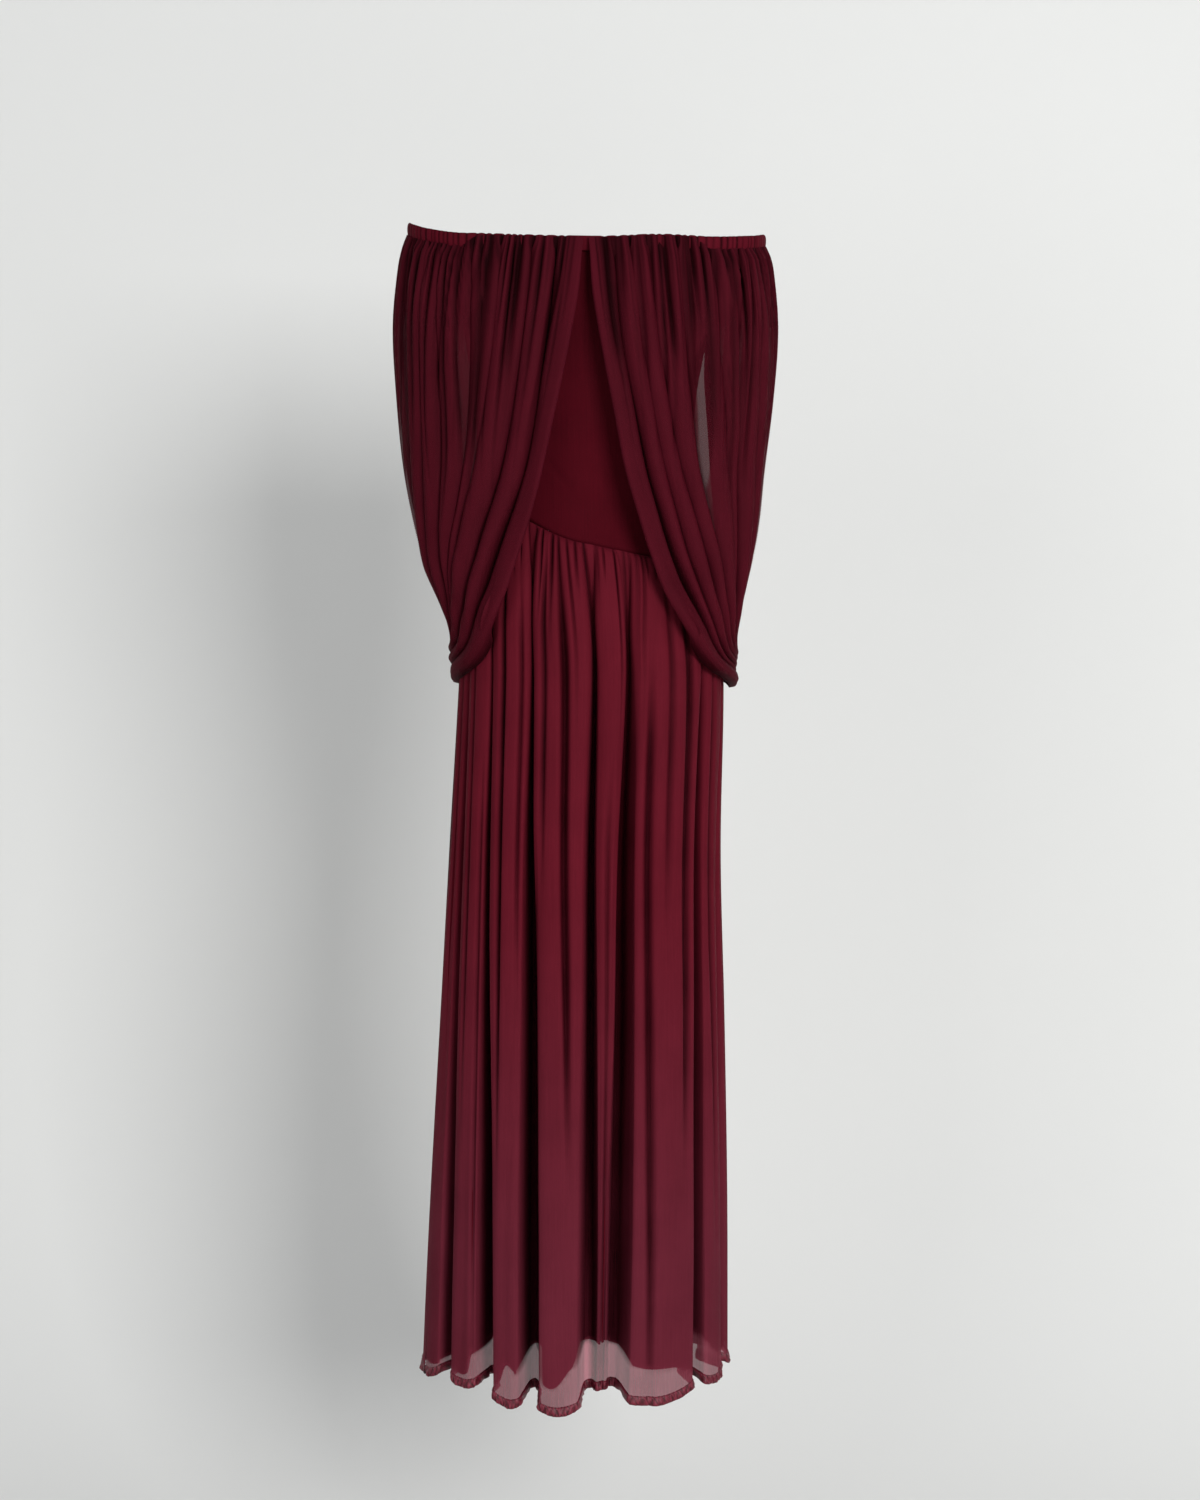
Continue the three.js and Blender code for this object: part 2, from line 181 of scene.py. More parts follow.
# Horizontal sections, by height
TORSO = Profile(
    "z half back front mid",
    (10, 150, 95, 98, 0),
    (-110, 141, 98, 116, 0),
    (-200, 127, 94, 106, 0),
    (-330, 119, 90, 93, 2),
    (-400, 131, 104, 100, 4),
)
SKIRT = Profile(
    "z half back front mid",
    (-300, 117, 89, 93, 2),
    (-335, 120, 92, 94, 2),
    (-390, 132, 107, 103, 6),
    (-450, 142, 121, 113, 9),
    (-520, 148, 127, 119, 11),
    (-715, 156, 133, 128, 6),
    (-890, 164, 139, 135, 5),
    (-1120, 172, 146, 143, 3),
    (-1330, 178, 152, 150, 1),
)
CAPE = Profile(
    "z half back front mid",
    (20, 203, 100, 105, 0),
    (-20, 203, 100, 105, 0),
    (-50, 207, 102, 108, 0),
    (-120, 212, 110, 124, 0),
    (-200, 208, 114, 122, 0),
    (-280, 201, 116, 118, 0),
    (-340, 195, 118, 118, 3),
    (-390, 187, 122, 122, 6),
    (-440, 176, 130, 126, 11),
    (-485, 162, 136, 130, 14),
    (-535, 158, 139, 132, 15),
)

# Heights of the band's top edge, the slanting waist seam and the hem, by angle
NECKLINE = Profile(
    "angle z",
    (-180, -36),
    (-140, -28),
    (-105, -5),
    (-88, 0),
    (-74, -6),
    (-60, -14),
    (-40, -23),
    (0, -29),
    (20, -25),
    (40, -24),
    (65, -17),
    (88, -9),
    (105, -12),
    (140, -28),
    (180, -36),
)
WAIST_SEAM = Profile(
    "angle z",
    (-180, -352),
    (-110, -322),
    (-70, -320),
    (-36, -337),
    (-3, -367),
    (33, -383),
    (80, -390),
    (125, -382),
    (180, -352),
)
HEM = Profile(
    "angle z",
    (-180, -1312),
    (-120, -1308),
    (-65, -1309),
    (-38, -1310),
    (-20, -1325),
    (-3, -1330),
    (16, -1325),
    (44, -1316),
    (65, -1312),
    (120, -1303),
    (180, -1312),
)

# The exponent of sine and cosine that makes a section slightly squarer than an ellipse
SQUARENESS = 0.87

# The angles from the centre between which the drapes' gathers on the band end
RUCHING_END = (31.0, 40.0)

# How far up a fold's wave its flank starts, and the exponent that fills a plain round wave out
FLANK_START = 0.16
WAVE_FULLNESS = 0.7

# The shares of a crease's length over which it deepens from its start and fades to its end
CREASE_DEEPENING = 0.2
CREASE_FADING = 0.45


@dataclass(frozen=True)
class BandRing:
    """The band's ring seen from above: half its width, and its reach to the back and the front."""

    half: float = 203.0
    back: float = 100.0
    front: float = 105.0


BAND = BandRing()


def around(sections: Profile, angle: Array, z: Array) -> Array:
    """Places points on a table of horizontal sections.

    Args:
        sections: the table.
        angle: the angles round the body, in degrees.
        z: the heights.

    Returns:
        The points, in millimetres.
    """
    across = signed_power(np.sin(np.radians(angle)), SQUARENESS)
    depth = signed_power(np.cos(np.radians(angle)), SQUARENESS)
    reach = np.where(depth > 0, sections.at("back", z), sections.at("front", z))
    x = sections.at("mid", z) + sections.at("half", z) * across
    return np.stack([x, -reach * depth, z], -1)


def from_centre(angle: Array) -> Array:
    """How far an angle is from the centre back or the centre front, whichever is nearer."""
    turned = np.mod(angle + 180.0, FULL_CIRCLE) - 180.0
    return 90.0 - np.abs(90.0 - np.abs(turned))


def ruched(angle: Array) -> Array:
    """How far the drapes' gathers cover the band: 1 at the back and the front, 0 over the arms."""
    return 1.0 - ramp(from_centre(angle), *RUCHING_END)


def outward(points: Array) -> Array:
    """The normals of a grid of points, its columns anticlockwise seen from above and its rows downwards."""
    return unit(np.cross(np.gradient(points, axis=0), np.gradient(points, axis=1)))


def fold_height(p: Array, edge: Array, roundness: float) -> Array:
    """The height of a fold across it.

    Args:
        p: positions across it, whole numbers in its valleys.
        edge: how wide its flanks are, near 0 for steep ones by a narrow valley.
        roundness: how much of its height is a plain round wave, from 0 for a flat top to 1.

    Returns:
        0 in the valleys to 1 on top.
    """
    wave = (1.0 - np.cos(2.0 * np.pi * p)) / 2.0
    return mix(ramp(wave, FLANK_START * edge, edge), wave**WAVE_FULLNESS, roundness)


@dataclass(frozen=True)
class Ripple:
    """A slow waviness of hanging cloth, made of a few cosines."""

    seed: int
    waves: int = 7
    coarsest: float = 0.8
    finest: float = 3.4
    drift: float = 1.3
    beat: float = 0.45
    beat_rates: tuple[float, float] = (0.6, 1.9)

    def at(self, u: Array, t: Array) -> Array:
        """The waves' height.

        Args:
            u: positions across the cloth.
            t: shares of the way along it.

        Returns:
            The height, about -1 to 1.
        """
        draw = np.random.default_rng(self.seed)
        total = np.zeros(np.broadcast(u, t).shape)
        for _ in range(self.waves):
            often = draw.uniform(self.coarsest, self.finest)
            phase = draw.uniform(0.0, 1.0)
            sway = draw.uniform(-self.drift, self.drift)
            rate = draw.uniform(*self.beat_rates)
            swell = np.cos(2.0 * np.pi * (rate * t + draw.uniform(0.0, 1.0)))
            strength = 1.0 - self.beat + self.beat * swell
            total += strength * np.cos(2.0 * np.pi * (often * u + phase + sway * t))
        return total / math.sqrt(self.waves)


class Gathers:
    """The small pleats that a gathering stitch makes, each with its own place, depth and length.

    steps, widths and sway are shares of the pitch. The higher shortness is, the more troughs are short.
    """

    steps: tuple[float, float] = (0.6, 1.45)
    widths: tuple[float, float] = (0.11, 0.24)
    depths: tuple[float, float] = (0.45, 1.0)
    sway: float = 0.16
    shortness: float = 1.8

    def __init__(
        self, seed: int, first: float, last: float, pitch: float, lengths: tuple[float, float]
    ) -> None:
        """Scatters the pleats' troughs.

        Args:
            seed: the seed of their unevenness.
            first: the position of the first trough.
            last: the position past which there are none.
            pitch: the usual distance between troughs, in the same units.
            lengths: the shortest and the longest trough, in millimetres.
        """
        draw = np.random.default_rng(seed)
        count = int((last - first) / pitch)
        steps = draw.uniform(*self.steps, count)
        places = first + (last - first) * np.cumsum(steps) / (steps.sum() + 0.5)
        widths = pitch * draw.uniform(*self.widths, count)
        depths = draw.uniform(*self.depths, count)
        reaches = mix(lengths[0], lengths[1], draw.uniform(0.0, 1.0, count) ** self.shortness)
        drifts = draw.normal(0.0, self.sway, count) * pitch
        self.pleats = list(zip(places, widths, depths, reaches, drifts))

    def troughs(self, u: Array, below: Array) -> Array:
        """How deep the troughs are.

        Args:
            u: the positions along the gathering stitch.
            below: the distances below it, in millimetres.

        Returns:
            0 on the pleats' tops to 1 in a deep trough.
        """
        total = np.zeros(np.broadcast(u, below).shape)
        for place, width, depth, length, drift in self.pleats:
            share = below / length
            total += depth * (1.0 - smooth(share)) * bell(u, place + drift * share, width)
        return np.clip(total, 0.0, 1.0)


@dataclass(frozen=True)
class Crease:
    """A soft trough along a fold, between two shares of the cloth's length."""

    upper: float
    lower: float
    start: float
    end: float
    depth: float
    width: float = 0.07

    def at(self, u: Array, t: Array) -> Array:
        """The trough's depth.

        Args:
            u: positions across the cloth.
            t: shares of the way along it.

        Returns:
            The depth, in millimetres.
        """
        span = self.end - self.start
        deepened = ramp(t, self.start, self.start + CREASE_DEEPENING * span)
        painted_haze_tone = ramp(t, self.end - CREASE_FADING * span, self.end)
        return self.depth * deepened * (1.0 - painted_haze_tone) * bell(u, mix(self.upper, self.lower, t), self.width)


@dataclass(frozen=True)
class SkirtForm:
    """The folded form that the skirt's mesh, its hem and its lining share.

    A fold position counts the main folds round the skirt from the left side. waist and hem are the angles
    where fold k starts, depth its valley's depth at the hem, slit how tightly its sides close on its valleys,
    sunk how far its top lies inside the section, and hem_raised is 1 where its hem is as high as a valley's.
    """

    waist: tuple[float, ...] = (-98, -72, -50, -25, 1, 13, 58, 84, 108, 134, 163, 186, 203, 233)
    hem: tuple[float, ...] = (-88, -54, -31, -13, 4, 12, 51, 80, 111, 139, 166, 191, 208, 240)
    depth: tuple[float, ...] = (40, 42, 50, 62, 66, 62, 46, 36, 40, 58, 62, 64, 58, 46)
    slit: tuple[float, ...] = (
        0.06, 0.06, 0.06, 0.07, 0.03, 0.07, 0.07, 0.05, 0.05, 0.06, 0.06, 0.04, 0.06, 0.06,
    )
    sunk: tuple[float, ...] = (0, 3, 2, 0, 20, 0, 4, 0, 3, 0, 0, 12, 0, 3)
    low_sunk: tuple[float, ...] = (0, 0, 0, 0, 30, 0, 0, 0, 0, 0, 0, 18, 0, 0)
    hem_edge: tuple[float, ...] = (0.3, 0.5, 0.56, 0.44, 0.8, 0.22, 0.3, 0.4, 0.4, 0.5, 0.3, 0.7, 0.56, 0.4)
    hem_raised: tuple[float, ...] = (0, 0, 0, 0, 1, 0, 0, 0, 0, 0, 0, 1, 0, 0)
    growth: float = 3.9
    waist_edge: float = 0.26
    waist_edge_end: float = 0.35
    waist_roundness: float = 0.22
    hem_roundness: float = 0.12
    slit_reach: float = 0.12
    slit_low: float = 0.5
    slit_easing: tuple[float, float] = (0.4, 0.9)
    low_start: float = 0.6
    hem_lift: float = 14.0
    hem_wave_edge: float = 1.2
    hem_wave_roundness: float = 0.7
    seam_gap: float = 0.15
    sideways: float = 0.5
    facing: float = 1.3

    def row(self, name: str, k: Array) -> Array:
        """A column of the fold table at fold k, which repeats round the body."""
        column = np.array(getattr(self, name), float)
        return column[np.mod(k, len(column))]

    def start(self, k: Array, t: Array) -> Array:
        """The angle where fold k starts, at height share t."""
        turns = np.floor_divide(k, len(self.waist))
        return FULL_CIRCLE * turns + mix(self.row("waist", k), self.row("hem", k), t)

    def opened(self, t: Array) -> Array:
        """How far the folds have opened at height share t."""
        return 1.0 - (1.0 - np.clip(t, 0.0, 1.0)) ** self.growth

    def crest(self, u: Array, t: Array) -> Array:
        """How near a place is to the top of its fold. Folds are broad at the waist.

        Args:
            u: fold positions.
            t: height shares.

        Returns:
            0 in the valleys to 1 on top.
        """
        k = np.floor(u).astype(int)
        edge = mix(self.waist_edge, self.row("hem_edge", k), ramp(t, self.waist_edge_end, 1.0))
        return fold_height(u, edge, mix(self.waist_roundness, self.hem_roundness, t))

    def hem_z(self, u: Array) -> Array:
        """The height of the hem, higher in the valleys than on the folds.

        Args:
            u: fold positions.

        Returns:
            The heights, in millimetres.
        """
        k = np.floor(u).astype(int)
        angle = mix(self.start(k, 1.0), self.start(k + 1, 1.0), u - k)
        wave = fold_height(u, self.hem_wave_edge * self.row("hem_edge", k), self.hem_wave_roundness)
        on_fold = wave * (1.0 - self.row("hem_raised", k))
        return HEM.turned("z", angle) + self.hem_lift * (1.0 - on_fold)

    def seam_angle(self, u: Array) -> Array:
        """The angle of a fold position on the waist seam."""
        k = np.floor(u).astype(int)
        return mix(self.start(k, 0.0), self.start(k + 1, 0.0), u - k)

    def top_z(self, u: Array) -> Array:
        """The height of the waist seam at a fold position."""
        return WAIST_SEAM.turned("z", self.seam_angle(u))

    def share_above_hem(self, u: Array, height: Array) -> Array:
        """The share of the skirt's length at a height above its hem."""
        return 1.0 - height / (self.top_z(u) - self.hem_z(u))

    def inwards(self, points: Array) -> Array:
        """Level directions into the body. The folds face more to the back and front than to the sides.

        Args:
            points: places on the skirt.

        Returns:
            The directions, of length 1.
        """
        z = points[..., 2]
        half, back = SKIRT.at("half", z), SKIRT.at("back", z)
        x = (points[..., 0] - SKIRT.at("mid", z)) / half
        reach = np.where(points[..., 1] > 0, SKIRT.at("front", z), back)
        level = -self.sideways * signed_power(x, self.facing) / half
        deep = -signed_power(points[..., 1] / reach, self.facing) / back
        return unit(np.stack([level, deep, np.zeros_like(level)], -1))

    def surface(self, u: Array, t: Array) -> Array:
        """Places the cloth with its main folds.

        Args:
            u: fold positions.
            t: shares of the length, 0 at the waist seam and 1 at the hem.

        Returns:
            The points, in millimetres.
        """
        u, t = np.broadcast_arrays(u, t)
        k = np.floor(u).astype(int)
        p = u - k
        eased = mix(1.0, self.slit_low, ramp(t, *self.slit_easing))
        tightness = smooth(t / self.slit_reach) * eased
        closing = self.row("slit", k) * tightness * np.sin(2.0 * np.pi * p)
        angle = mix(self.start(k, t), self.start(k + 1, t), p - closing)
        z = mix(WAIST_SEAM.turned("z", angle) - self.seam_gap, self.hem_z(u), t)
        valley = mix(self.row("depth", k), self.row("depth", k + 1), p)
        sunk = self.row("sunk", k) + self.row("low_sunk", k) * ramp(t, self.low_start, 1.0)
        inset = mix(valley, sunk, self.crest(u, t)) * self.opened(t)
        points = around(SKIRT, angle, z)
        return points + self.inwards(points) * inset[..., None]


@dataclass
class Cloth:
    """A piece of cloth as a grid of points, with what its material reads."""

    name: str
    points: Array
    cover: Array | float = 1.0
    # crest is a painted tone for the material: painted shade near 0, the lit colour at 1 and a painted
    # highlight above 1. haze paints a lighter tone towards the hem.
    crest: Array | float = 0.5
    haze: Array | float = 0.0
    ring: bool = False
    tube: bool = False

    def area(self) -> float:
        """The area of the cloth.

        Returns:
            The area of the grid, in square metres.
        """
        a = self.points[1:, :-1] - self.points[:-1, :-1]
        b = self.points[:-1, 1:] - self.points[:-1, :-1]
        return float(np.linalg.norm(np.cross(a, b), axis=-1).sum()) * MM * MM

    def lengths(self) -> tuple[Array, Array]:
        """How far the grid's columns and rows are along the cloth, on average.

        Returns:
            The distances across it and down it, in metres.
        """
        across = np.linalg.norm(np.diff(self.points, axis=1), axis=-1).mean(0) * MM
        down = np.linalg.norm(np.diff(self.points, axis=0), axis=-1).mean(1) * MM
        return np.concatenate([[0.0], np.cumsum(across)]), np.concatenate([[0.0], np.cumsum(down)])

    def build(self, material: bpy.types.Material) -> bpy.types.Object:
        """Makes the mesh object.

        Args:
            material: the cloth's finish.

        Returns:
            The object, at the origin with its place in its mesh, its flat sizes in its UV map.
        """
        rows, columns = self.points.shape[:2]
        grid = np.arange(rows * columns).reshape(rows, columns)
        if self.ring:
            grid = np.concatenate([grid, grid[:, :1]], 1)
        if self.tube:
            grid = np.concatenate([grid, grid[:1]], 0)
        faces = quads(grid).reshape(-1, 4)
        mesh = bpy.data.meshes.new(self.name)
        mesh.vertices.add(rows * columns)
        mesh.vertices.foreach_set("co", (self.points * MM).astype(np.float32).ravel())
        mesh.loops.add(faces.size)
        mesh.loops.foreach_set("vertex_index", faces.astype(np.int32).ravel())
        mesh.polygons.add(len(faces))
        mesh.polygons.foreach_set("loop_start", np.arange(0, faces.size, 4, dtype=np.int32))
        mesh.polygons.foreach_set("use_smooth", np.ones(len(faces), bool))
        across, down = self.lengths()
        if self.ring:
            across = np.append(across, 2.0 * across[-1] - across[-2])
        if self.tube:
            down = np.append(down, 2.0 * down[-1] - down[-2])
        flat = np.stack(np.meshgrid(across, down), -1)
        layer = mesh.uv_layers.new(name="flat")
        layer.uv.foreach_set("vector", quads(flat).astype(np.float32).ravel())
        for name, value in (("cover", self.cover), ("crest", self.crest), ("haze", self.haze)):
            spread = np.broadcast_to(np.asarray(value, float), (rows, columns))
            attribute = mesh.attributes.new(name, "FLOAT", "POINT")
            attribute.data.foreach_set("value", spread.astype(np.float32).ravel())
        mesh.update()
        mesh.validate()
        mesh.materials.append(material)
        log.info("%s: sheet of %.3f m2", self.name, self.area())
        return placed(self.name, mesh)


def thicken(piece: bpy.types.Object, thickness: float) -> None:
    """Gives a sheet a wall on its inner side.

    Args:
        piece: the sheet.
        thickness: the wall's thickness, in millimetres.
    """
    solidify = piece.modifiers.new("thickness", "SOLIDIFY")
    solidify.thickness = thickness * MM
    solidify.offset = -1.0
    solidify.use_even_offset = False


def fasten(piece: bpy.types.Object, replaced: Sequence[str] = ()) -> None:
    """Puts a piece on the dress's one body.

    Args:
        piece: the finished piece.
        replaced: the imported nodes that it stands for.
    """
    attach(piece, ROOT)
    if replaced:
        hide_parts(*replaced)
    log.info("%s: %d faces", piece.name, len(piece.data.polygons))


@dataclass
class StitchRow:
    """A row of thread stitches on cloth, made by Geometry Nodes from the places of the stitches."""

    name: str
    places: Array
    out: Array
    lay: Array
    length: float
    radius: float
    thread: bpy.types.Material
    unevenness: float = 0.14
    seed: int = 3

    def build(self) -> bpy.types.Object:
        """Makes the row as one plain mesh.

        Returns:
            The row's object.
        """
        mesh = bpy.data.meshes.new(f"{self.name}_places")
        mesh.from_pydata((self.places * MM).tolist(), [], [])
        for name, vectors in (("out", self.out), ("lay", self.lay)):
            attribute = mesh.attributes.new(name, "FLOAT_VECTOR", "POINT")
            attribute.data.foreach_set("vector", unit(vectors).astype(np.float32).ravel())
        holder = placed(f"{self.name}_places", mesh)
        modifier = holder.modifiers.new("stitches", "NODES")
        modifier.node_group = self.tree()
        sizes = {"Length": self.length * MM, "Radius": self.radius * MM, "Thread": self.thread}
        for item in modifier.node_group.interface.items_tree:
            if item.name in sizes:
                modifier[item.identifier] = sizes[item.name]
        seen = holder.evaluated_get(bpy.context.evaluated_depsgraph_get())
        made = bpy.data.meshes.new_from_object(seen)
        made.name = self.name
        bpy.data.objects.remove(holder)
        return placed(self.name, made)

    def tree(self) -> bpy.types.NodeTree:
        """Makes the node tree that puts a small thread loop on each place, along its two vectors.

        Returns:
            The tree.
        """
        tree = bpy.data.node_groups.new("stitch_row", "GeometryNodeTree")
        sockets = (
            ("Geometry", "NodeSocketGeometry"),
            ("Length", "NodeSocketFloat"),
            ("Radius", "NodeSocketFloat"),
            ("Thread", "NodeSocketMaterial"),
        )
        for name, kind in sockets:
            tree.interface.new_socket(name=name, in_out="INPUT", socket_type=kind)
        tree.interface.new_socket(name="Geometry", in_out="OUTPUT", socket_type="NodeSocketGeometry")

        def add(kind: str, settings: dict | None = None, **inputs: object) -> bpy.types.Node:
            """Adds a node.

            Args:
                kind: the node's type.
                settings: its own settings.
                inputs: values or other nodes' sockets by the input's name.

            Returns:
                The node.
            """
            node = tree.nodes.new(kind)
            for name, value in (settings or {}).items():
                setattr(node, name, value)
            for name, value in inputs.items():
                socket = next(i for i in node.inputs if i.name.replace(" ", "") == name and i.enabled)
                if isinstance(value, bpy.types.NodeSocket):
                    tree.links.new(value, socket)
                else:
                    socket.default_value = value
            return node

        given = add("NodeGroupInput").outputs
        sphere = add("GeometryNodeMeshUVSphere", Segments=6, Rings=4, Radius=1.0)
        half = add("ShaderNodeMath", {"operation": "MULTIPLY"})
        tree.links.new(given["Length"], half.inputs[0])
        half.inputs[1].default_value = 0.5
        sizes = add("ShaderNodeCombineXYZ", X=half.outputs[0], Y=given["Radius"], Z=given["Radius"])
        loop = add("GeometryNodeTransform", Geometry=sphere.outputs["Mesh"], Scale=sizes.outputs[0])
        out = add("GeometryNodeInputNamedAttribute", {"data_type": "FLOAT_VECTOR"}, Name="out")
        lay = add("GeometryNodeInputNamedAttribute", {"data_type": "FLOAT_VECTOR"}, Name="lay")
        turn = add(
            "FunctionNodeAxesToRotation",
            {"primary_axis": "Z", "secondary_axis": "X"},
            PrimaryAxis=out.outputs["Attribute"],
            SecondaryAxis=lay.outputs["Attribute"],
        )
        size = add(
            "FunctionNodeRandomValue",
            {"data_type": "FLOAT"},
            Min=1.0 - self.unevenness,
            Max=1.0 + self.unevenness,
            Seed=self.seed,
        )
        value = next(o for o in size.outputs if o.enabled)
        row = add(
            "GeometryNodeInstanceOnPoints",
            Points=given["Geometry"],
            Instance=loop.outputs[0],
            Rotation=turn.outputs[0],
            Scale=value,
        )
        real = add("GeometryNodeRealizeInstances", Geometry=row.outputs[0])
        dyed = add("GeometryNodeSetMaterial", Geometry=real.outputs[0], Material=given["Thread"])
        add("NodeGroupOutput", Geometry=dyed.outputs[0])
        return tree


def even_places(line: Array, pitch: float) -> tuple[Array, Array]:
    """Spaces places evenly along a line.

    Args:
        line: the line's points and any numbers that go with them, in columns.
        pitch: the distance between places, in millimetres.

    Returns:
        The line's columns at the places, and the directions along it there.
    """
    run = distances(line[:, :3])
    half = pitch / 2.0
    stops = np.arange(half, run[-1], pitch)
    columns = np.stack([np.interp(stops, run, column) for column in line.T], -1)
    ahead = np.stack([np.interp(stops + half, run, column) for column in line[:, :3].T], -1)
    return columns, unit(ahead - columns[:, :3] + 1e-9)


Value = Union["Wire", float]


class Wire:
    """A shader socket whose arithmetic adds Math nodes."""

    def __init__(self, graph: "Graph", socket: bpy.types.NodeSocket) -> None:
        """Keeps the socket and the graph that it belongs to."""
        self.graph = graph
        self.socket = socket

    def math(self, operation: str, *values: Value) -> "Wire":
        """Adds a Math node of that operation on these values."""
        node = self.graph.node("ShaderNodeMath", {"operation": operation}, dict(enumerate(values)))
        return Wire(self.graph, node.outputs[0])

    def __add__(self, other: Value) -> "Wire":
        """This plus another."""
        return self.math("ADD", self, other)

    def __radd__(self, other: Value) -> "Wire":
        """A number plus this."""
        return self.math("ADD", other, self)

    def __sub__(self, other: Value) -> "Wire":
        """This less another."""
        return self.math("SUBTRACT", self, other)

    def __rsub__(self, other: Value) -> "Wire":
        """A number less this."""
        return self.math("SUBTRACT", other, self)

    def __mul__(self, other: Value) -> "Wire":
        """This times another."""
        return self.math("MULTIPLY", self, other)

    def __rmul__(self, other: Value) -> "Wire":
        """A number times this."""
        return self.math("MULTIPLY", other, self)

    def sine(self) -> "Wire":
        """The sine of this, in radians."""
        return self.math("SINE", self)

    def clamped(self) -> "Wire":
        """This, kept from 0 to 1."""
        return self.math("MINIMUM", self.math("MAXIMUM", self, 0.0), 1.0)


class Graph:
    """A material's node tree."""

    def __init__(self, material: bpy.types.Material) -> None:
        """Empties the material's tree.

        Args:
            material: the material that the graph describes.
        """
        material.use_nodes = True
        self.tree = material.node_tree
        self.tree.nodes.clear()

    def node(self, kind: str, settings: dict | None = None, inputs: dict | None = None) -> bpy.types.Node:
        """Adds a node.

        Args:
            kind: the node's type.
            settings: its own settings, which are set first.
            inputs: values or wires by the socket's name or number.

        Returns:
            The node.
        """
        node = self.tree.nodes.new(kind)
        for name, value in (settings or {}).items():
            setattr(node, name, value)
        for key, value in (inputs or {}).items():
            if isinstance(value, Wire):
                self.tree.links.new(value.socket, node.inputs[key])
            else:
                node.inputs[key].default_value = value
        return node

    def wire(
        self, kind: str, output: int | str, settings: dict | None = None, inputs: dict | None = None
    ) -> Wire:
        """Adds a node and gives one of its outputs."""
        return Wire(self, self.node(kind, settings, inputs).outputs[output])

    def attribute(self, name: str) -> Wire:
        """A number kept on the mesh's points."""
        return self.wire("ShaderNodeAttribute", "Fac", {"attribute_name": name})

    def blend(self, share: Value, low: "Colour | Wire", high: "Colour | Wire") -> Wire:
        """A mix of two colours.

        Args:
            share: how far from the low to the high one.
            low: the colour at 0.
            high: the colour at 1.

        Returns:
            The mixed colour.
        """
        ends = [c if isinstance(c, Wire) else (*c, 1.0) for c in (low, high)]
        inputs = {0: share, 6: ends[0], 7: ends[1]}
        return self.wire("ShaderNodeMix", 2, {"data_type": "RGBA"}, inputs)

    def noise(self, place: Wire, scale: float, detail: float = 2.0, roughness: float = 0.5) -> Wire:
        """Cloudy noise from 0 to 1 at those places."""
        inputs = {"Vector": place, "Scale": scale, "Detail": detail, "Roughness": roughness}
        return self.wire("ShaderNodeTexNoise", "Fac", None, inputs)

    def mapped(self, place: Wire, scale: Place) -> Wire:
        """Places stretched by a scale along each axis."""
        return self.wire("ShaderNodeMapping", 0, None, {"Vector": place, "Scale": scale})

    def bump(self, height: Wire, strength: float = 1.0, distance: float = 1.0) -> Wire:
        """Normals that follow a height, which is in metres at a distance of 1."""
        inputs = {"Strength": strength, "Distance": distance, "Height": height}
        return self.wire("ShaderNodeBump", 0, None, inputs)

    def principled(self, inputs: dict) -> Wire:
        """The usual shader with these inputs."""
        return self.wire("ShaderNodeBsdfPrincipled", 0, None, inputs)

    def end_in(self, shader: Wire) -> None:
        """Makes a shader the material's surface."""
        self.node("ShaderNodeOutputMaterial", None, {"Surface": shader})


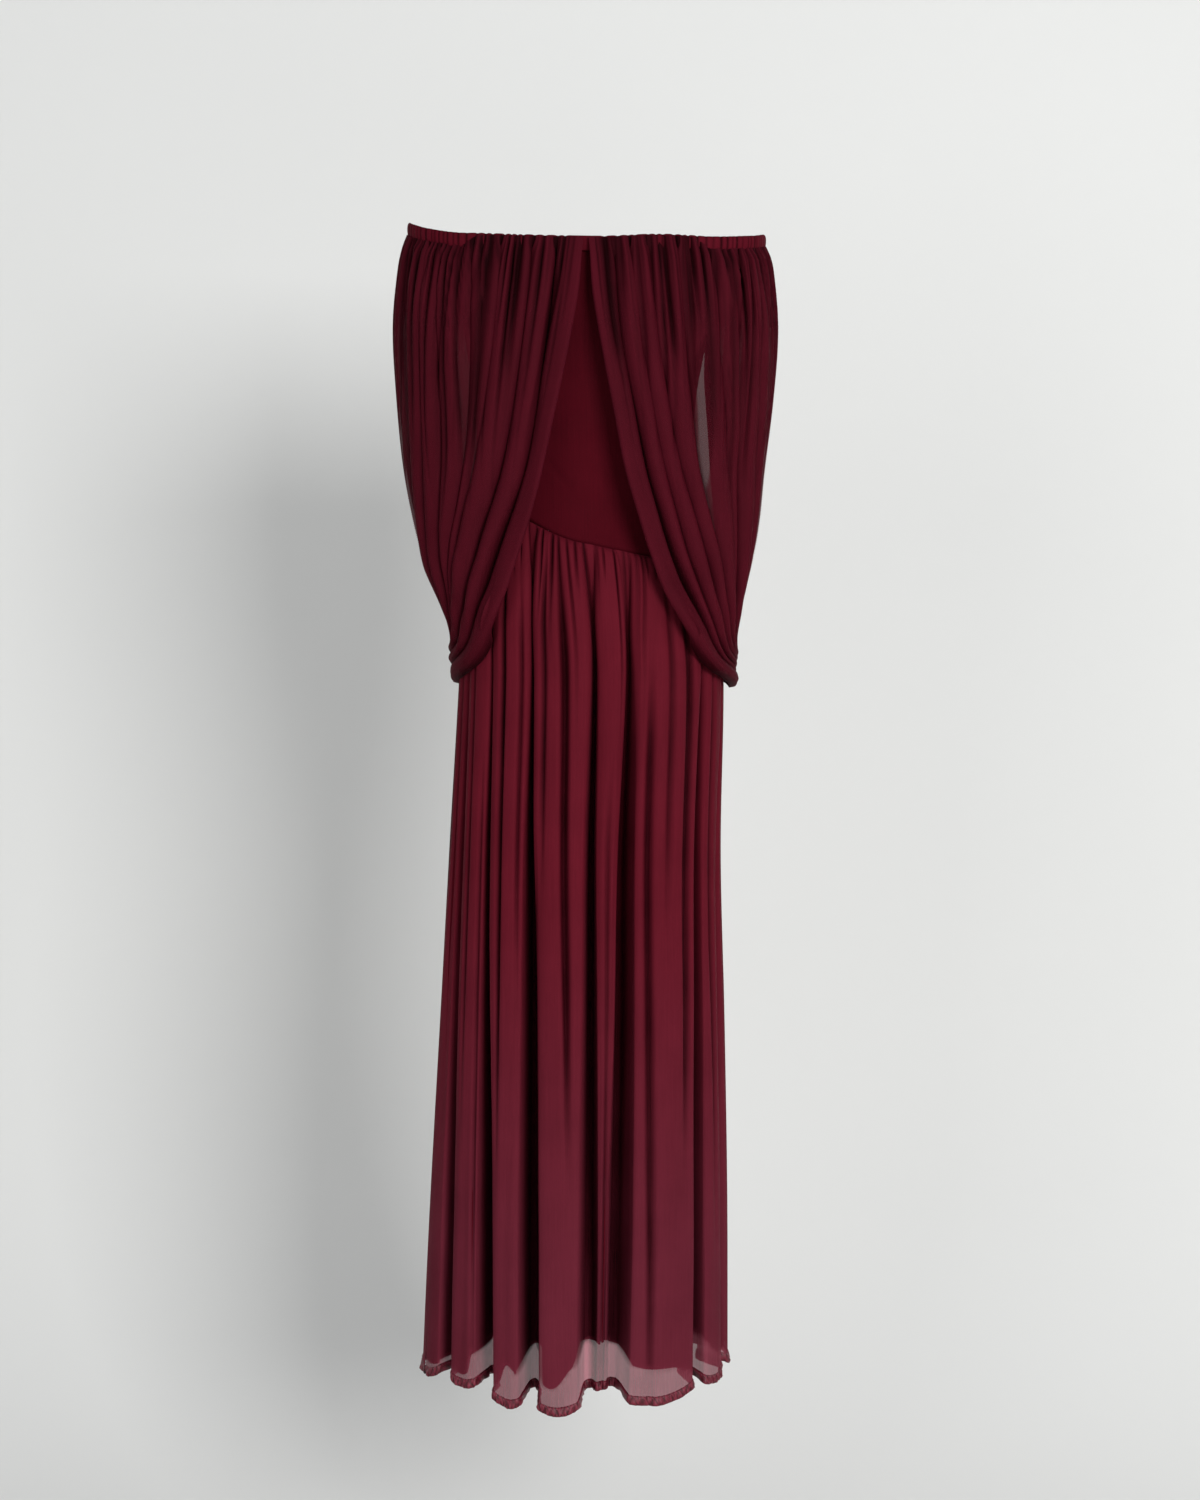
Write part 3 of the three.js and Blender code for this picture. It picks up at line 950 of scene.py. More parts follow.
@dataclass(frozen=True)
class ClothFinish:
    """A wine-red stretch cloth.

    deep and light are its colours in the valleys and on the folds: the dark one is painted shade and the
    light one the lit cloth. The hazy colour is a lighter tone painted towards the hem for the mesh's sheen
    and the light through it. The rim colour is a painted highlight on the sharpest folds and painted light
    through the mesh where it is sheer. Pitches and heights are in metres.
    """

    name: str
    deep: Colour
    light: Colour
    roughness: float
    sheen: float
    weave_pitch: float
    weave_height: float
    streak_height: float
    grain_height: float = 0.00012
    gloss: float = 0.025
    sheen_roughness: float = 0.2
    sheen_tint: Colour = (0.9, 0.12, 0.2)
    mottle: float = 0.35
    painted_haze_colour: Colour = (0.114, 0.0145, 0.0265)
    painted_rim_light: Colour = (0.24, 0.05, 0.075)
    painted_rim_gain: float = 1.6
    painted_shade_share: float = 0.85
    streak_share: float = 0.3
    darkening: float = 0.2
    wear: float = 0.12
    cloud_scale: float = 16.0
    wear_scale: float = 60.0
    grain_scale: float = 900.0
    streak_scale: Place = (520.0, 14.0, 1.0)
    sheer: bool = False

    def material(self) -> bpy.types.Material:
        """Makes the material: painted shade in the valleys and the lit colour on the folds, cloudy noise, a
        lighter tone painted towards the hem and a painted highlight, with a knitted and streaky bump.

        Returns:
            The material.
        """
        material = bpy.data.materials.new(self.name)
        graph = Graph(material)
        flat = graph.wire("ShaderNodeUVMap", 0, {"uv_map": "flat"})
        place = graph.wire("ShaderNodeTexCoord", "Object")
        cloudy = graph.noise(place, self.cloud_scale, 3.0)
        streaks = graph.noise(graph.mapped(flat, self.streak_scale), 1.0, 3.0, 0.6)
        grain = graph.noise(place, self.grain_scale)
        crest = graph.attribute("crest")
        # The tone is painted shade from the crest attribute, darker in valleys, gathers and creases, plus
        # random cloudy mottle and streaks.
        tone = crest * self.painted_shade_share + cloudy * self.mottle + streaks * self.streak_share
        tone = tone - (self.darkening + 0.5 * self.mottle)
        unhazed_tone = graph.blend(tone.clamped(), self.deep, self.light)
        # A lighter, greyer tone is painted towards the hem for the mesh's sheen and the light through it.
        painted_haze_tone = graph.blend(tone.clamped(), self.deep, self.painted_haze_colour)
        colour = graph.blend(graph.attribute("haze"), unhazed_tone, painted_haze_tone)
        # Past the top of the tone the colour goes to a painted highlight: on the sharpest folds, and painted
        # see-through light in the sheer mesh.
        painted_rim_share = (tone - 1.0).clamped() * self.painted_rim_gain
        colour = graph.blend(painted_rim_share.clamped(), colour, self.painted_rim_light)
        height = self.weave(graph, flat) * self.weave_height
        height = height + streaks * self.streak_height + grain * self.grain_height
        rough = graph.noise(place, self.wear_scale) * self.wear + (self.roughness - 0.5 * self.wear)
        inputs = {
            "Base Color": colour,
            "Roughness": rough,
            "Normal": graph.bump(height),
            "Sheen Weight": self.sheen,
            "Sheen Roughness": self.sheen_roughness,
            "Sheen Tint": (*self.sheen_tint, 1.0),
            "Specular IOR Level": self.gloss,
        }
        if self.sheer:
            inputs["Alpha"] = graph.attribute("cover")
        graph.end_in(graph.principled(inputs))
        return material

    def weave(self, graph: Graph, flat: Wire) -> Wire:
        """A fine net of loops at the cloth's own pitch.

        Args:
            graph: the material's graph.
            flat: places on the cloth laid flat, in metres.

        Returns:
            The net's height, from -1 to 1.
        """
        split = graph.node("ShaderNodeSeparateXYZ", None, {0: flat})
        wave = 2.0 * math.pi / self.weave_pitch
        across = Wire(graph, split.outputs[0])
        down = Wire(graph, split.outputs[1])
        return (across * wave).sine() * (down * wave + across * (0.5 * wave)).sine()


@dataclass(frozen=True)
class ThreadFinish:
    """Sewing thread."""

    name: str = "thread"
    colour: Colour = (0.17, 0.03, 0.05)
    roughness: float = 0.42
    shade: float = 0.7
    twist_scale: float = 1400.0
    twist_strength: float = 0.5
    twist_height: float = 0.0002

    def material(self) -> bpy.types.Material:
        """Makes the material: an even colour with a twist in it.

        Returns:
            The material.
        """
        material = bpy.data.materials.new(self.name)
        graph = Graph(material)
        place = graph.wire("ShaderNodeTexCoord", "Object")
        twist = graph.noise(place, self.twist_scale)
        colour = graph.blend(twist, tuple(self.shade * c for c in self.colour), self.colour)
        bump = graph.bump(twist, self.twist_strength, self.twist_height)
        inputs = {"Base Color": colour, "Roughness": self.roughness, "Normal": bump}
        graph.end_in(graph.principled(inputs))
        return material


@dataclass(frozen=True)
class StageFinish:
    """The plain pale floor and wall."""

    name: str = "pale_ground"
    colour: Colour = (0.66, 0.66, 0.645)
    roughness: float = 0.85
    gloss: float = 0.1
    shade: float = 0.97
    cloud_scale: float = 1.5

    def material(self) -> bpy.types.Material:
        """Makes the material, faintly uneven. From behind it is clear, so that it hides no view.

        Returns:
            The material.
        """
        material = bpy.data.materials.new(self.name)
        graph = Graph(material)
        place = graph.wire("ShaderNodeTexCoord", "Object")
        cloudy = graph.noise(place, self.cloud_scale)
        colour = graph.blend(cloudy, tuple(self.shade * c for c in self.colour), self.colour)
        inputs = {"Base Color": colour, "Roughness": self.roughness, "Specular IOR Level": self.gloss}
        behind = graph.wire("ShaderNodeNewGeometry", "Backfacing")
        clear = graph.wire("ShaderNodeBsdfTransparent", 0)
        sides = {0: behind, 1: graph.principled(inputs), 2: clear}
        graph.end_in(graph.wire("ShaderNodeMixShader", 0, None, sides))
        return material


MESH_FINISH = ClothFinish(
    name="stretch_mesh",
    deep=(0.018, 0.0005, 0.002),
    light=(0.104, 0.0066, 0.0145),
    roughness=0.72,
    sheen=0.1,
    weave_pitch=0.0011,
    weave_height=0.00002,
    streak_height=0.00022,
    painted_rim_light=(0.4, 0.11, 0.15),
    sheer=True,
)
DRAPE_FINISH = ClothFinish(
    name="drape_mesh",
    deep=(0.008, 0.0003, 0.001),
    light=(0.064, 0.0038, 0.0094),
    roughness=0.72,
    sheen=0.05,
    weave_pitch=0.0011,
    weave_height=0.00002,
    streak_height=0.00026,
    sheer=True,
)
JERSEY_FINISH = ClothFinish(
    name="jersey",
    deep=(0.018, 0.0006, 0.0018),
    light=(0.094, 0.0034, 0.0098),
    roughness=0.78,
    sheen=0.01,
    weave_pitch=0.0014,
    weave_height=0.00003,
    streak_height=0.00008,
)
CASING_FINISH = ClothFinish(
    name="gathered_casing",
    deep=(0.014, 0.0004, 0.0015),
    light=(0.085, 0.004, 0.0105),
    roughness=0.7,
    sheen=0.08,
    weave_pitch=0.0011,
    weave_height=0.00002,
    streak_height=0.0003,
)
HEM_FINISH = ClothFinish(
    name="turned_hem",
    deep=(0.04, 0.002, 0.005),
    light=(0.15, 0.012, 0.027),
    roughness=0.42,
    sheen=0.15,
    weave_pitch=0.0011,
    weave_height=0.00003,
    streak_height=0.0003,
    gloss=0.25,
    sheer=True,
)


# How far the lining's edge is above the mesh's hem, by fold position
LINING_RISE = Profile(
    "fold height",
    (0.5, 13),
    (1.1, 14),
    (1.56, 16),
    (1.66, 38),
    (1.84, 34),
    (2.0, 46),
    (2.3, 20),
    (2.5, 46),
    (2.74, 36),
    (3.0, 46),
    (3.28, 30),
    (3.5, 31),
    (3.76, 50),
    (4.2, 50),
    (4.5, 54),
    (4.8, 50),
    (5.0, 46),
    (5.3, 40),
    (5.6, 36),
    (5.9, 22),
    (6.1, 48),
    (6.5, 36),
    (6.8, 24),
    (7.2, 15),
    (7.7, 15),
    (8.3, 46),
    (8.8, 24),
    (9.5, 44),
    (10.2, 36),
    (10.7, 22),
    (11.3, 48),
    (12.2, 42),
    (12.8, 20),
    (13.4, 38),
    (14.0, 15),
    (14.5, 13),
)


@dataclass(frozen=True)
class HemRoll:
    """The turned hem: a flat roll with a twist in it, fuller at its lower edge, and its row of stitches.

    Heights, the thickness, and the stitches' pitch, length, radius and rise are in millimetres.
    """

    height: float = 10.5
    thickness: float = 2.6
    fullness: float = 0.55
    section_points: int = 14
    cover: float = 0.97
    # light and the spread after it paint highlights on the crinkles.
    light: float = 1.4
    painted_highlight_spread: float = 0.7
    crinkle_thickness: float = 0.6
    crinkle_height: float = 0.3
    wave_thickness: float = 0.7
    wave_height: float = 0.2
    stitch_pitch: float = 3.2
    stitch_length: float = 2.3
    stitch_radius: float = 0.3
    stitch_slant: float = 0.7
    stitch_rise: float = 0.12


@dataclass
class Skirt:
    """The gathered outer skirt of mesh, its narrow hems and the opaque lining under it.

    Heights, depths, insets, reaches and lengths are in millimetres. Starts, ends and easings are shares of
    the skirt's length, and the gathers' pitch and span are degrees on the waist seam.
    """

    form: SkirtForm
    mesh: bpy.types.Material
    jersey: bpy.types.Material
    hemming: bpy.types.Material
    thread: bpy.types.Material
    stitches: dict[Half, bpy.types.Object] = field(default_factory=dict)
    roll: HemRoll = HemRoll()
    columns_per_fold: int = 62
    rows: int = 196
    row_bias: float = 1.4
    lining_columns_per_fold: int = 30
    lining_rows: int = 46
    hem_columns_per_fold: int = 90
    mesh_above_hem: float = 0.6
    gather_height: float = 6.4
    gather_depth: float = 1.35
    gather_pitch: float = 3.5
    gather_span: tuple[float, float] = (-90.0, 280.0)
    gather_lengths: tuple[float, float] = (34.0, 300.0)
    gather_reach: float = 7.0
    gather_fade: float = 460.0
    valley_calm: float = 0.35
    ripple_height: float = 1.3
    seam_pinch: float = 1.2
    seam_pinch_reach: float = 2.0
    # The next numbers set the painted shade in the valleys, gathers and creases and the painted highlight
    # near the folds' tops.
    valley_light: float = 0.3
    valley_light_end: float = 0.22
    trough_shade_power: float = 0.35
    crease_shade: float = 0.88
    crease_shade_depth: float = 7.0
    painted_rim_light: float = 0.3
    painted_rim_place: float = 0.8
    painted_rim_width: float = 0.12
    # The next numbers paint a lighter tone towards the hem, and set how sheer the mesh is below the lining's
    # edge, with painted light through it there.
    haze_easing: tuple[float, float] = (0.35, 0.95)
    sheer_cover: float = 0.83
    full_cover: float = 0.96
    sheer_painted_light: tuple[float, float] = (2.3, 1.3)
    sheer_blur: tuple[float, float] = (-2.0, 8.0)
    lining_thickness: float = 0.8
    lining_gap: float = 1.0
    lining_valley: float = 12.0
    lining_inset_top: float = 2.6
    lining_inset: float = 10.0
    lining_inset_low: float = 4.5
    lining_inset_start: float = 0.13
    lining_inset_easing: tuple[float, float] = (0.45, 0.85)
    lining_rise: Profile = LINING_RISE
    seed: int = 11
    creases: tuple[Crease, ...] = (
        Crease(0.42, 0.4, 0.1, 0.9, 5.0, 0.05),
        Crease(0.7, 0.66, 0.0, 0.6, 5.0, 0.04),
        Crease(1.45, 1.4, 0.03, 0.75, 7.0, 0.04),
        Crease(1.75, 1.7, 0.25, 1.1, 4.0, 0.05),
        Crease(2.42, 2.33, 0.02, 0.8, 9.5, 0.045),
        Crease(2.72, 2.7, 0.05, 0.6, 5.0, 0.04),
        Crease(3.3, 3.34, 0.0, 0.45, 6.0, 0.04),
        Crease(3.53, 3.72, 0.0, 0.8, 11.0, 0.042),
        Crease(3.2, 3.16, 0.3, 1.2, 3.5, 0.06),
        Crease(4.5, 4.55, 0.2, 1.2, 4.0, 0.1),
        Crease(5.16, 5.14, 0.05, 1.2, 4.0, 0.045),
        Crease(5.3, 5.36, 0.06, 1.2, 8.0, 0.036),
        Crease(5.48, 5.52, 0.0, 0.5, 5.0, 0.03),
        Crease(5.66, 5.72, 0.0, 0.8, 11.0, 0.04),
        Crease(5.84, 5.86, 0.1, 0.9, 4.0, 0.035),
        Crease(6.35, 6.5, 0.05, 0.9, 7.0, 0.045),
        Crease(6.7, 6.76, 0.2, 1.2, 4.0, 0.05),
        Crease(7.4, 7.5, 0.1, 0.9, 5.0, 0.05),
        Crease(8.3, 8.28, 0.0, 0.8, 7.0, 0.045),
        Crease(8.62, 8.6, 0.1, 1.2, 6.0, 0.05),
        Crease(9.35, 9.3, 0.0, 0.7, 8.0, 0.045),
        Crease(9.7, 9.66, 0.2, 1.2, 6.0, 0.05),
        Crease(10.4, 10.45, 0.0, 0.8, 10.0, 0.042),
        Crease(10.75, 10.7, 0.1, 1.2, 5.0, 0.045),
        Crease(11.5, 11.45, 0.1, 1.2, 4.0, 0.09),
        Crease(12.3, 12.36, 0.0, 0.7, 9.0, 0.04),
        Crease(12.7, 12.75, 0.1, 1.2, 6.0, 0.05),
        Crease(13.25, 13.28, 0.0, 0.6, 6.0, 0.04),
        Crease(13.55, 13.5, 0.05, 0.9, 7.0, 0.05),
    )

    def spread(self, half: Half, columns_per_fold: int) -> Array:
        """The fold positions of a panel's columns between its side seams."""
        first, last = half.value
        return np.linspace(first, last, round(columns_per_fold * (last - first)) + 1)

    def build(self) -> dict[str, bpy.types.Object]:
        """Builds both halves.

        Returns:
            The pieces by name.
        """
        pieces: dict[str, bpy.types.Object] = {}
        for half in Half:
            side = half.name.lower()
            pieces[f"skirt_{side}"] = self.outer(half)
            pieces[f"lining_{side}"] = self.lining(half)
            pieces[f"hem_{side}"] = self.hem(half)
            for kind in ("skirt", "lining", "hem"):
                fasten(pieces[f"{kind}_{side}"], [f"{kind}_{side}"])
        return pieces

    def lifted(self, u: Array, t: Array) -> tuple[Array, Array]:
        """Places the mesh with its gathers and creases.

        Args:
            u: fold positions.
            t: shares of the length.

        Returns:
            The points, and each one's painted tone: painted shade in the valleys, gathers and creases, about
            1 on the folds' tops, and a painted highlight near them.
        """
        base = self.form.surface(u, t)
        below = self.form.top_z(u) - base[..., 2]
        opened = self.form.opened(t)
        top = self.form.crest(u, t)
        gathers = Gathers(self.seed, *self.gather_span, self.gather_pitch, self.gather_lengths)
        troughs = gathers.troughs(self.form.seam_angle(u), below)
        creased = sum(crease.at(u, t) for crease in self.creases)
        fade = 1.0 - smooth(below / self.gather_fade)
        gathered = self.gather_height * (1.0 - np.exp(-below / self.gather_reach)) * fade
        lift = gathered * (1.0 - self.gather_depth * troughs) - creased
        lift = lift + self.ripple_height * opened * Ripple(self.seed + 1).at(u, t)
        lift = lift - self.seam_pinch * np.exp(-below / self.seam_pinch_reach)
        lift = lift * mix(self.valley_calm, 1.0, top)
        lift = np.maximum(lift, self.lining_gap - self.clearance(t))
        # The crest is a painted tone: painted shade in the valleys below the waist, in the gathers' troughs
        # and in the creases.
        crest = mix(1.0, mix(self.valley_light, 1.0, top), smooth(t / self.valley_light_end))
        crest = crest * (1.0 - troughs * fade**self.trough_shade_power)
        crest = crest * (1.0 - self.crease_shade * smooth(creased / self.crease_shade_depth))
        # A painted highlight along the folds just below their tops.
        crest = crest + self.painted_rim_light * opened * bell(top, self.painted_rim_place, self.painted_rim_width)
        return base + outward(base) * lift[..., None], crest

    def clearance(self, t: Array) -> Array:
        """How far the lining lies inside the folded form at height share t."""
        high = mix(self.lining_inset_top, self.lining_inset, smooth(t / self.lining_inset_start))
        return mix(high, self.lining_inset_low, ramp(t, *self.lining_inset_easing))

    def outer(self, half: Half) -> bpy.types.Object:
        """Builds the outer mesh of one half.

        Args:
            half: the back or the front.

        Returns:
            The mesh, sheer below the lining's edge.
        """
        columns = self.spread(half, self.columns_per_fold)
        shares = np.linspace(0.0, 1.0, self.rows + 1) ** self.row_bias
        end = self.form.share_above_hem(columns, self.mesh_above_hem * self.roll.height)
        u, t = np.broadcast_arrays(columns[None, :], shares[:, None] * end[None, :])
        points, crest = self.lifted(u, t)
        # Where the mesh is sheer, its tone is raised into the painted highlight colour, painted light through
        # the mesh, strongest in the valleys.
        clear = mix(*self.sheer_painted_light, self.form.crest(u, t))
        above = points[..., 2] - self.form.hem_z(columns)[None, :]
        opaque = ramp(above - self.lining_rise.at("height", columns)[None, :], *self.sheer_blur)
        cover = mix(self.sheer_cover, self.full_cover, opaque)
        # A lighter tone painted towards the hem.
        haze = ramp(t, *self.haze_easing)
        cloth = Cloth(f"{half.name.lower()}_skirt_mesh", points, cover, mix(clear, crest, opaque), haze)
        return cloth.build(self.mesh)

    def lining(self, half: Half) -> bpy.types.Object:
        """Builds the opaque lining of one half, inside the mesh and further from it in the valleys.

        Args:
            half: the back or the front.

        Returns:
            The lining.
        """
        columns = self.spread(half, self.lining_columns_per_fold)
        shares = np.linspace(0.0, 1.0, self.lining_rows + 1)
        end = self.form.share_above_hem(columns, self.lining_rise.at("height", columns))
        u, t = np.broadcast_arrays(columns[None, :], shares[:, None] * end[None, :])
        base = self.form.surface(u, t)
        normal = outward(base)
        normal[..., 2] = 0.0
        crest = self.form.crest(u, t)
        valley = self.lining_valley * self.form.opened(t) * (1.0 - crest) ** 3
        points = base - unit(normal) * self.clearance(t)[..., None]
        points = points + self.form.inwards(base) * valley[..., None]
        # The crest on the lining paints shade into its valleys.
        piece = Cloth(f"{half.name.lower()}_skirt_lining", points, 1.0, crest).build(self.jersey)
        thicken(piece, self.lining_thickness)
        return piece

    def hem(self, half: Half) -> bpy.types.Object:
        """Builds the turned hem of one half, and sews it.

        Args:
            half: the back or the front.

        Returns:
            The hem.
        """
        roll = self.roll
        columns = self.spread(half, self.hem_columns_per_fold)
        heights = np.array([1.0, 0.5, 0.0])[:, None] * roll.height
        t = self.form.share_above_hem(columns[None, :], heights)
        edge, _ = self.lifted(*np.broadcast_arrays(columns[None, :], t))
        top, bottom = edge[0], edge[-1]
        down = unit(bottom - top)
        normal = unit(np.cross(down, np.gradient(bottom, axis=0)))
        turn = np.linspace(0.0, 2.0 * np.pi, roll.section_points, endpoint=False)[:, None]
        fall, out = -np.cos(turn), np.sin(turn)
        run = distances(bottom)[None, :]
        crinkle = Ripple(self.seed + 5, 9, 0.07, 0.3, 0.7).at(run, fall)
        wave = Ripple(self.seed + 6, 6, 0.02, 0.06, 0.0).at(run, np.zeros((1, 1)))
        full = roll.thickness / 2.0 * (1.0 + roll.fullness * smooth(0.5 + 0.5 * fall))
        thick = out * full * (1.0 + roll.crinkle_thickness * crinkle)
        thick = thick + roll.wave_thickness * wave * (1.0 + fall)
        reach = 0.5 * roll.height * fall + roll.wave_height * wave + roll.crinkle_height * crinkle
        points = (top + bottom)[None] / 2.0 + down[None] * reach[..., None] + normal[None] * thick[..., None]
        # Painted highlights on the crinkles' ridges.
        crest = roll.light * smooth(0.5 + roll.painted_highlight_spread * crinkle)
        outermost = int(np.argmax(out[:, 0]))
        self.stitches[half] = self.sew_hem(half, points[outermost - 1], normal, down)
        return Cloth(f"{half.name.lower()}_hem", points, roll.cover, crest, tube=True).build(self.hemming)

    def sew_hem(self, half: Half, line: Array, normal: Array, down: Array) -> bpy.types.Object:
        """Sews a row of slightly slanting stitches.

        Args:
            half: the half that is hemmed.
            line: the points that the row follows.
            normal: the directions out of the cloth there.
            down: the directions towards the hem's lower edge.

        Returns:
            The stitches.
        """
        roll = self.roll
        places, along = even_places(np.concatenate([line, normal, down], -1), roll.stitch_pitch)
        points, out, low = np.split(places, 3, axis=-1)
        points = points + roll.stitch_rise * out
        lay = along + roll.stitch_slant * low
        name = f"{half.name.lower()}_hem_stitches"
        row = StitchRow(name, points, out, lay, roll.stitch_length, roll.stitch_radius, self.thread).build()
        fasten(row)
        return row


# The two edges of a drape strip, from the neckline (at 0) to the turn under the arm (at 1)
DRAPE_PATH = Profile(
    "at inner_angle inner_z outer_angle outer_z height",
    (0.0, 0.5, -46, 87, -17, 3.5),
    (0.16, 2.4, -120, 84, -105, 9),
    (0.36, 7, -225, 82, -215, 12),
    (0.54, 13, -320, 79, -305, 13),
    (0.7, 23, -400, 74, -378, 13),
    (0.82, 37, -462, 70, -432, 12),
    (0.91, 55, -504, 74, -464, 9),
    (1.0, 90, -526, 90, -482, 6),
)


@dataclass(frozen=True)
class Valley:
    """A valley between two folds of a drape: its place across at five stations from neckline to turn."""

    top: float
    high: float
    middle: float
    low: float
    turn: float
    depth: float = 1.0

    def profile(self) -> Profile:
        """The place as a smooth curve along the strip."""
        places = (self.top, self.high, self.middle, self.low, self.turn)
        return Profile("at place", *zip(np.linspace(0.0, 1.0, len(places)), places))


@dataclass(frozen=True)
class DrapeCrease:
    """A fine crease along a drape, between two shares of its length."""

    place: Valley
    end: float
    depth: float
    width: float = 0.011


@dataclass(frozen=True)
class SheerPatch:
    """A stretch of a drape where the mesh is spread out and sheer: its middle and half width along it."""

    line: Profile
    cover: float = 0.64
    blur: float = 0.006

    def share(self, across: Array, v: Array) -> Array:
        """How far each place is inside the patch, from 0 to 1."""
        away = np.abs(across - self.line.at("place", v))
        return smooth((self.line.at("half", v) - away) / self.blur)


STRAIGHT_EDGE = Profile("at place", (0.0, 0.0), (1.0, 0.0))
RIGHT_EDGE = Profile("at place", (0.0, 0.0), (0.5, 0.0), (0.66, -0.03), (0.8, -0.1), (0.9, -0.07), (1.0, 0.0))
RIGHT_SHEER = (
    SheerPatch(
        Profile(
            "at place half",
            (0.19, 0.385, -0.004),
            (0.25, 0.362, 0.03),
            (0.34, 0.371, 0.032),
            (0.44, 0.384, 0.03),
            (0.54, 0.386, -0.004),
        )
    ),
    SheerPatch(
        Profile(
            "at place half",
            (1.45, 0.435, -0.004),
            (1.51, 0.432, 0.05),
            (1.6, 0.424, 0.058),
            (1.71, 0.41, 0.058),
            (1.81, 0.4, 0.054),
            (1.88, 0.405, -0.004),
        ),
        0.82,
        0.01,
    ),
)
LEFT_VALLEYS = (
    Valley(0.08, 0.07, 0.08, 0.22, 0.44, 1.1),
    Valley(0.14, 0.14, 0.17, 0.35, 0.72, 1.2),
    Valley(0.26, 0.255, 0.32, 0.53, 0.88, 1.2),
    Valley(0.385, 0.35, 0.38, 0.6, 0.915, 0.7),
    Valley(0.565, 0.52, 0.51, 0.67, 0.94, 1.1),
    Valley(0.65, 0.62, 0.65, 0.8, 0.96, 1.0),
    Valley(0.77, 0.73, 0.78, 0.92, 0.98, 0.9),
)
RIGHT_VALLEYS = (
    Valley(0.07, 0.075, 0.11, 0.15, 0.3, 1.3),
    Valley(0.12, 0.13, 0.175, 0.24, 0.44, 1.0),
    Valley(0.17, 0.187, 0.255, 0.38, 0.58, 1.1),
    Valley(0.29, 0.295, 0.35, 0.5, 0.72, 1.3),
    Valley(0.45, 0.46, 0.54, 0.64, 0.84, 0.7),
    Valley(0.61, 0.57, 0.6, 0.7, 0.9, 1.0),
    Valley(0.75, 0.71, 0.765, 0.83, 0.94, 0.7),
    Valley(0.85, 0.79, 0.85, 0.91, 0.97, 0.7),
)
LEFT_CREASES = (
    DrapeCrease(Valley(0.195, 0.2, 0.22, 0.3, 0.3), 0.34, 2.6, 0.016),
    DrapeCrease(Valley(0.3, 0.3, 0.345, 0.55, 0.89), 0.65, 4.0),
    DrapeCrease(Valley(0.34, 0.325, 0.363, 0.58, 0.9), 0.55, 3.5),
    DrapeCrease(Valley(0.455, 0.42, 0.4, 0.62, 0.92), 0.55, 4.0),
    DrapeCrease(Valley(0.515, 0.48, 0.47, 0.64, 0.93), 0.68, 3.5),
    DrapeCrease(Valley(0.71, 0.68, 0.72, 0.86, 0.97), 0.5, 2.5),
    DrapeCrease(Valley(0.84, 0.83, 0.9, 0.96, 0.99), 0.62, 3.0),
)
RIGHT_CREASES = (
    DrapeCrease(Valley(0.035, 0.035, 0.045, 0.06, 0.1), 0.3, 2.0, 0.014),
    DrapeCrease(Valley(0.23, 0.245, 0.27, 0.3, 0.6), 0.3, 6.0),
    DrapeCrease(Valley(0.34, 0.335, 0.36, 0.5, 0.7), 0.24, 3.5),
    DrapeCrease(Valley(0.54, 0.52, 0.555, 0.66, 0.86), 0.6, 3.5, 0.008),
    DrapeCrease(Valley(0.67, 0.64, 0.65, 0.74, 0.91), 0.6, 3.5, 0.009),
    DrapeCrease(Valley(0.39, 0.4, 0.44, 0.58, 0.78), 0.5, 2.0, 0.02),
)


